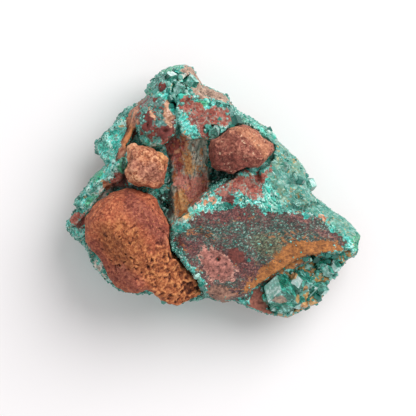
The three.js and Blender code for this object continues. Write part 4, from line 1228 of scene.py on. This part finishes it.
# %% Crystals that catch the eye one by one
SINGLE = [  # where it stands, its radius, which way it leans, its turn and its tint
    ((5, 13.8), 1.3, (0.35, -0.3), 10, 0.0), ((4, 12.6), 0.8, (-0.2, 0.2), 40, 0.2),
    ((17.6, 2.2), 0.9, (-0.2, 0.3), 20, 0.05), ((18.2, 0), 0.6, (0.5, 0.1), 0, 0.5),
    ((-7.4, 19.4), 0.8, (0.2, 0.3), 15, 1.4), ((-6.2, 19), 0.6, (-0.3, 0.1), 50, 1.4),
    ((-8.3, 17.8), 0.9, (0.1, -0.4), 30, 0.1), ((-5.4, 19.8), 0.6, (0.4, -0.3), 5, 1.2),
    ((-8.4, 19.2), 0.7, (-0.4, 0.1), 35, 0.3), ((1.6, 14.4), 0.5, (0.2, 0.2), 0, 0.5),
    ((1.2, 17.6), 0.7, (0.1, 0.5), 25, 0.0), ((2.6, 17), 0.5, (-0.3, 0.4), 45, 0.1),
    ((17.4, -16.8), 1.1, (0.1, -0.1), 5, 0.0), ((20, -13.4), 1, (-0.2, 0.2), 30, 0.05),
    ((18.6, -13.8), 0.7, (0.3, 0.1), 55, 0.15), ((19.2, -15.2), 0.8, (0, 0), 20, 0.95),
    ((24.2, -13.2), 0.9, (0.2, 0.1), 15, 0.1), ((22.6, -13), 0.7, (-0.3, 0.3), 40, 0.25),
    ((26.2, -12.8), 0.8, (0.3, -0.2), 0, 0.45), ((7, -14.2), 0.45, (0.2, 0), 10, 0.2),
    ((-4.6, -3.4), 0.7, (0.1, 0.1), 20, 1.3), ((6.4, 3.6), 0.6, (0.3, 0.2), 50, 1.3),
    ((12.2, 11.2), 0.8, (0.1, 0.4), 0, 1.3), ((11.2, 12), 0.6, (0.3, 0.1), 30, 1.2),
    ((-7.9, 16.9), 0.7, (0.2, -0.2), 10, 0.2), ((-7.6, 17.6), 0.6, (-0.2, -0.3), 45, 0.5),
]


def columns(rows):
    """Rows of foot, way, radius, length and turn, as one array for each."""
    return [np.array([row[n] for row in rows], float) for n in range(5)]


rows = []
for (x, y), radius, (lean_x, lean_y), turn, _ in SINGLE:
    close = np.flatnonzero(np.hypot(rock.points[:, 0] - x, rock.points[:, 1] - y) < 0.5)
    foot = rock.points[close[rock.points[close, 2].argmax()]]
    way = Vector((lean_x, lean_y, 1)).normalized()
    rows.append((foot - 1.4 * radius * np.array(way), way, radius, 2.1 * radius, math.radians(turn)))
single_corners = crystal_points(*columns(rows))
print("single crystals:", len(SINGLE))
bold = crystal_mesh(
    "bold_crystals",
    np.concatenate([bold_corners, bed_corners, skirts, single_corners]),
    np.concatenate([bold_tints, 0.6 * bed_tints, skirt_tints, [row[-1] for row in SINGLE]]),
)


# %% Crystals that lie along the crust
def lying(name, count, sizes, weight, seed, heading):
    """Slim crystals half sunk in the rock that lie along a heading, in degrees."""
    random = np.random.default_rng(seed)
    foot, out = picked(random, count, weight)
    radius = sizes[0] + (sizes[1] - sizes[0]) * random.random(count) ** 2
    turn = np.radians(heading + 22 * random.normal(size=count))
    way = np.stack([np.cos(turn), np.sin(turn), 0 * turn], axis=1)
    way -= out * (way * out).sum(axis=1)[:, None]
    way = unit(way + (0.1 + 0.15 * random.random(count))[:, None] * out)
    length = radius * (5 + 5 * random.random(count))
    root = foot - way * (0.5 * length)[:, None] - out * (0.25 * radius)[:, None]
    corners, tints = planted(name, random, root, way, radius, length)
    return corners, 0.4 + 0.6 * tints


skin_crust = (1 - bare) * (1 - stains) * open_skin * (rock.normals[:, 2] > 0.15)
CREST = [(8, 1), (12, 1), (14, -3), (11, -5), (8, -3.4)]
right_ground = skin_crust * (0.3 + worn) * rock.layers["right"]
left_ground = skin_crust * (1 - rock.layers["right"]) * (1 - on("lobe"))
crest_ground = skin_crust * soft(inside(rock.points, CREST), 1)
right_blades, right_tints = lying("blades on the right", 700, (0.06, 0.15), right_ground, 141, -42)
left_blades, left_tints = lying("blades on the left", 600, (0.06, 0.15), left_ground, 143, 52)
crest_blades, crest_tints = lying("blades on the crest", 34, (0.16, 0.3), crest_ground, 145, -58)
blades = crystal_mesh(
    "blades",
    np.concatenate([right_blades, left_blades, crest_blades]),
    np.concatenate([right_tints, left_tints, 1.1 + 0.35 * crest_tints]),
)

# %% The finish of the crust
look = Finish("sugary dioptase")
sugar = look.shades(
    0.55 * look.layer("tint") + 0.45 * look.noise(1.8, 3),
    (0.2, (8, 96, 84)),
    (0.45, (60, 158, 142)),
    (0.65, (118, 196, 180)),
    (0.85, (200, 234, 222)),
    (1.0, (60, 216, 192)),
)
DIOPTASE_IOR = 1.66
sugar_inputs = {
    "Base Color": sugar,
    "Roughness": 0.2,
    "IOR": DIOPTASE_IOR,
    "Transmission Weight": 0.25,
    "Normal": look.bump(look.noise(0.3, 2), 0.03 * MM),
}
crust_finish = look.surface(look.shader(sugar_inputs))
for name, mesh in (("sugary_crust", crust), ("bold_crystals", bold), ("lying_blades", blades)):
    mesh.materials.append(crust_finish)
    piece = add(name, mesh)
    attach(piece, "root")
    print(name, "has", len(mesh.polygons), "faces")

# %% [markdown]
# ## The large crystals
#
# Five groups grew large enough to see into. A real dioptase prism is rarely alone: slimmer
# ones grow along its sides in the same direction and end a little lower, so the tops rise in
# steps. Each group is united into one closed glass body, because light bends at every surface
# it meets and walls left inside would fill the crystal with false reflections.

# %% Slimmer prisms along each one
def grown_together(random, root, way, radius, length, turn, slim):
    """A prism and the slimmer ones that grow along it, as rows for crystal_points."""
    way = Vector(way).normalized()
    aside = way.orthogonal().normalized()
    turn = math.radians(turn)
    rows = [(root, way, radius, length, turn)]
    for n in range(slim):
        angle = 2 * math.pi * (n + 0.6 * random.random()) / slim
        out = Matrix.Rotation(angle, 3, way) @ aside
        narrow = radius * (0.3 + 0.3 * random.random())
        foot = Vector(root) + out * (radius * (0.72 + 0.1 * random.random()))
        foot += way * (radius * (0.1 + 0.3 * random.random()))  # no two feet share a plane
        shorter = length - radius * (0.7 + 0.8 * random.random())
        rows.append((foot, way, narrow, shorter, turn + math.radians(3)))
    return rows


# %% One glass body, with a tint for each face
def tint_faces(mesh, seed):
    """Gives each direction that a face can look in its own number from 0 to 1. The glass paints faces with a
    high number paler and milkier: painted reflection.
    """
    mesh.attributes.remove(mesh.attributes["tint"])
    way = np.empty(len(mesh.polygons) * 3)
    mesh.polygons.foreach_get("normal", way)
    numbers = grid_number(np.round(way.reshape(-1, 3) * 9), seed)
    layer = mesh.attributes.new("tint", "FLOAT", "FACE")
    layer.data.foreach_set("value", numbers.astype(np.float32))


def volume(mesh):
    """What a closed mesh holds, in cubic millimetres."""
    measure = bmesh.new()
    measure.from_mesh(mesh)
    held = measure.calc_volume() / MM**3
    measure.free()
    return held


def one_body(name, rows):
    """Unites the prisms into one closed mesh."""
    corners = crystal_points(*columns(rows))
    body = add(name, crystal_mesh(name, corners[:1], [0]))
    for n in range(1, len(rows)):
        prism = add(name, crystal_mesh(name, corners[n : n + 1], [0]))
        union = body.modifiers.new("unite", "BOOLEAN")
        union.operation = "UNION"
        union.solver = "EXACT"
        union.object = prism
        body.data = with_modifiers(body)
        body.modifiers.clear()
        bpy.data.objects.remove(prism)
    return body


# %% Their glass
look = Finish("clear dioptase")
tint = look.layer("tint")
veil = look.noise(1.1, 5, 0.6)
growth = look.streaks(-50, 6, 0.45, 3)
clear_inputs = {
    "Base Color": (226, 250, 242),
    "Roughness": 0.03,
    "IOR": DIOPTASE_IOR,
    "Transmission Weight": 1.0,
    "Normal": look.bump(growth, 0.05 * MM),
}
# Partly painted reflection: faces that look one way come out paler.
milky_and_reflection = look.shades(
    0.6 * veil + 0.4 * tint,
    (0.3, (34, 146, 126)),
    (0.45, (86, 196, 176)),
    (0.56, (150, 216, 204)),
    (0.68, (206, 228, 224)),
)
veils_and_reflection = Paint(look, milky_and_reflection)
OCHRE_BITS = (
    ((18.5, -20.1), (0.5, 1.4)), ((16.9, -21.4), (0.4, 1)), ((18.2, -22.7), (1, 0.6)), ((16, -17), (1, 0.8)),
)
pinkish = (look.oval((13.4, -21.6), (1.5, 0.8)) + 2 * (veil - 0.5)).step(0.0, 0.15) * 0.8
ochre = (look.ovals(*OCHRE_BITS) + 2 * (veil - 0.5)).step(0.0, 0.15) * 0.95
veils_and_reflection.glaze(look.tones(growth, (140, 74, 72), (206, 148, 120), 0.4, 0.6), pinkish)
veils_and_reflection.glaze(look.tones(growth, (170, 104, 50), (222, 170, 110), 0.4, 0.6), ochre)
cloud_and_reflection_inputs = {
    "Base Color": veils_and_reflection.colour,
    "Roughness": 0.3,
    "IOR": DIOPTASE_IOR,
    "Normal": look.bump(veil, 0.1 * MM),
}
# The milky shader takes the real veils and growth lines, and faces with a high tint as painted reflection.
share = 0.2 + 0.6 * tint.step(0.5, 0.9) + 0.4 * veil.step(0.5, 0.6) + 0.5 * growth.step(0.57, 0.62)
share = share.larger(pinkish).larger(ochre).held()
ends = {"Fac": share, "Shader": look.shader(clear_inputs), "Shader_001": look.shader(cloud_and_reflection_inputs)}
both = look.node("ShaderNodeMixShader", None, ends)["Shader"]
clear_finish = look.surface(both, inner={"Color": (0.1, 0.86, 0.72, 1), "Density": 190.0})
print("the glass has", len(look.tree.nodes), "nodes")

# %% Set the groups in place
LARGE, WIDENED = 2.0, 1.15  # a prism over 2 mm in radius is widened, once its skirt stands
random = np.random.default_rng(151)
for node, prisms in GROUPS.items():
    rows = []
    for root, way, radius, length, turn in prisms:
        slim = 3 if radius > 1.5 else 2
        broad = radius * (WIDENED if radius > LARGE else 1)
        rows += grown_together(random, root, way, broad, length, turn, slim)
    body = one_body(node + "_glass", rows)
    tint_faces(body.data, 153)
    body.data.materials.append(clear_finish)
    edge = body.modifiers.new("worn edges", "BEVEL")
    edge.width = 0.05 * MM
    edge.segments = 1
    edge.limit_method = "ANGLE"
    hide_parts(node)
    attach(body, "root")
    print(body.name, "has", len(rows), "prisms and", round(volume(body.data), 1), "cubic mm")

# %% [markdown]
# ## The table, the light and the camera
#
# The specimen lies on a plain white table. One large soft lamp stands to the upper right, so
# that the shadow falls to the lower left with a wide edge, and an even white sky fills it. The
# camera looks straight down through a long lens, which keeps the outline true.

# %% Table and light
look = Finish("white table")
paper = look.mix((240, 237, 238), (242, 239, 240), look.noise(40, 2))
floor_finish = look.surface(look.shader({"Base Color": paper, "Roughness": 0.9}))
FLOOR_SIDE = 6.0  # metres
bpy.ops.mesh.primitive_plane_add(size=FLOOR_SIDE)
floor = bpy.context.object
floor.name = "white_table"
floor.data.materials.append(floor_finish)

LAMP_WAY = Vector((0.55, 0.5, 0.72)).normalized()
LAMP_DISTANCE = 1.2  # metres
light = bpy.data.lights.new("key lamp", "AREA")
light.shape = "DISK"
light.size = 1.1
light.energy = 14.5
lamp = add("key lamp", light)
lamp.location = LAMP_WAY * LAMP_DISTANCE
lamp.rotation_mode = "QUATERNION"
lamp.rotation_quaternion = LAMP_WAY.to_track_quat("Z", "Y")
lamp.visible_camera = False
sky = bpy.data.worlds.new("sky")
sky.use_nodes = True
sky_light = sky.node_tree.nodes["Background"].inputs
sky_light["Color"].default_value = (1, 1, 1, 1)
sky_light["Strength"].default_value = 0.62
bpy.context.scene.world = sky
bpy.context.scene.view_settings.view_transform = "Standard"
print("lamp stands", round(LAMP_DISTANCE * LAMP_WAY.z, 2), "m above the table")

# %% Camera
FIELD = 83.2 * MM  # what the picture spans at the height of the rock's widest outline
DISTANCE = 0.9
GIRDLE = 8.4 * MM  # the height of that outline
camera = bpy.data.cameras.new("camera")
camera.sensor_width = 36.0
camera.lens = camera.sensor_width * (DISTANCE - GIRDLE) / FIELD
camera.clip_start, camera.clip_end = 0.01, 10.0
eye = add("camera", camera)
eye.location = (-1 * MM, -3.4 * MM, DISTANCE)
bpy.context.scene.camera = eye
print("lens:", round(camera.lens), "mm")
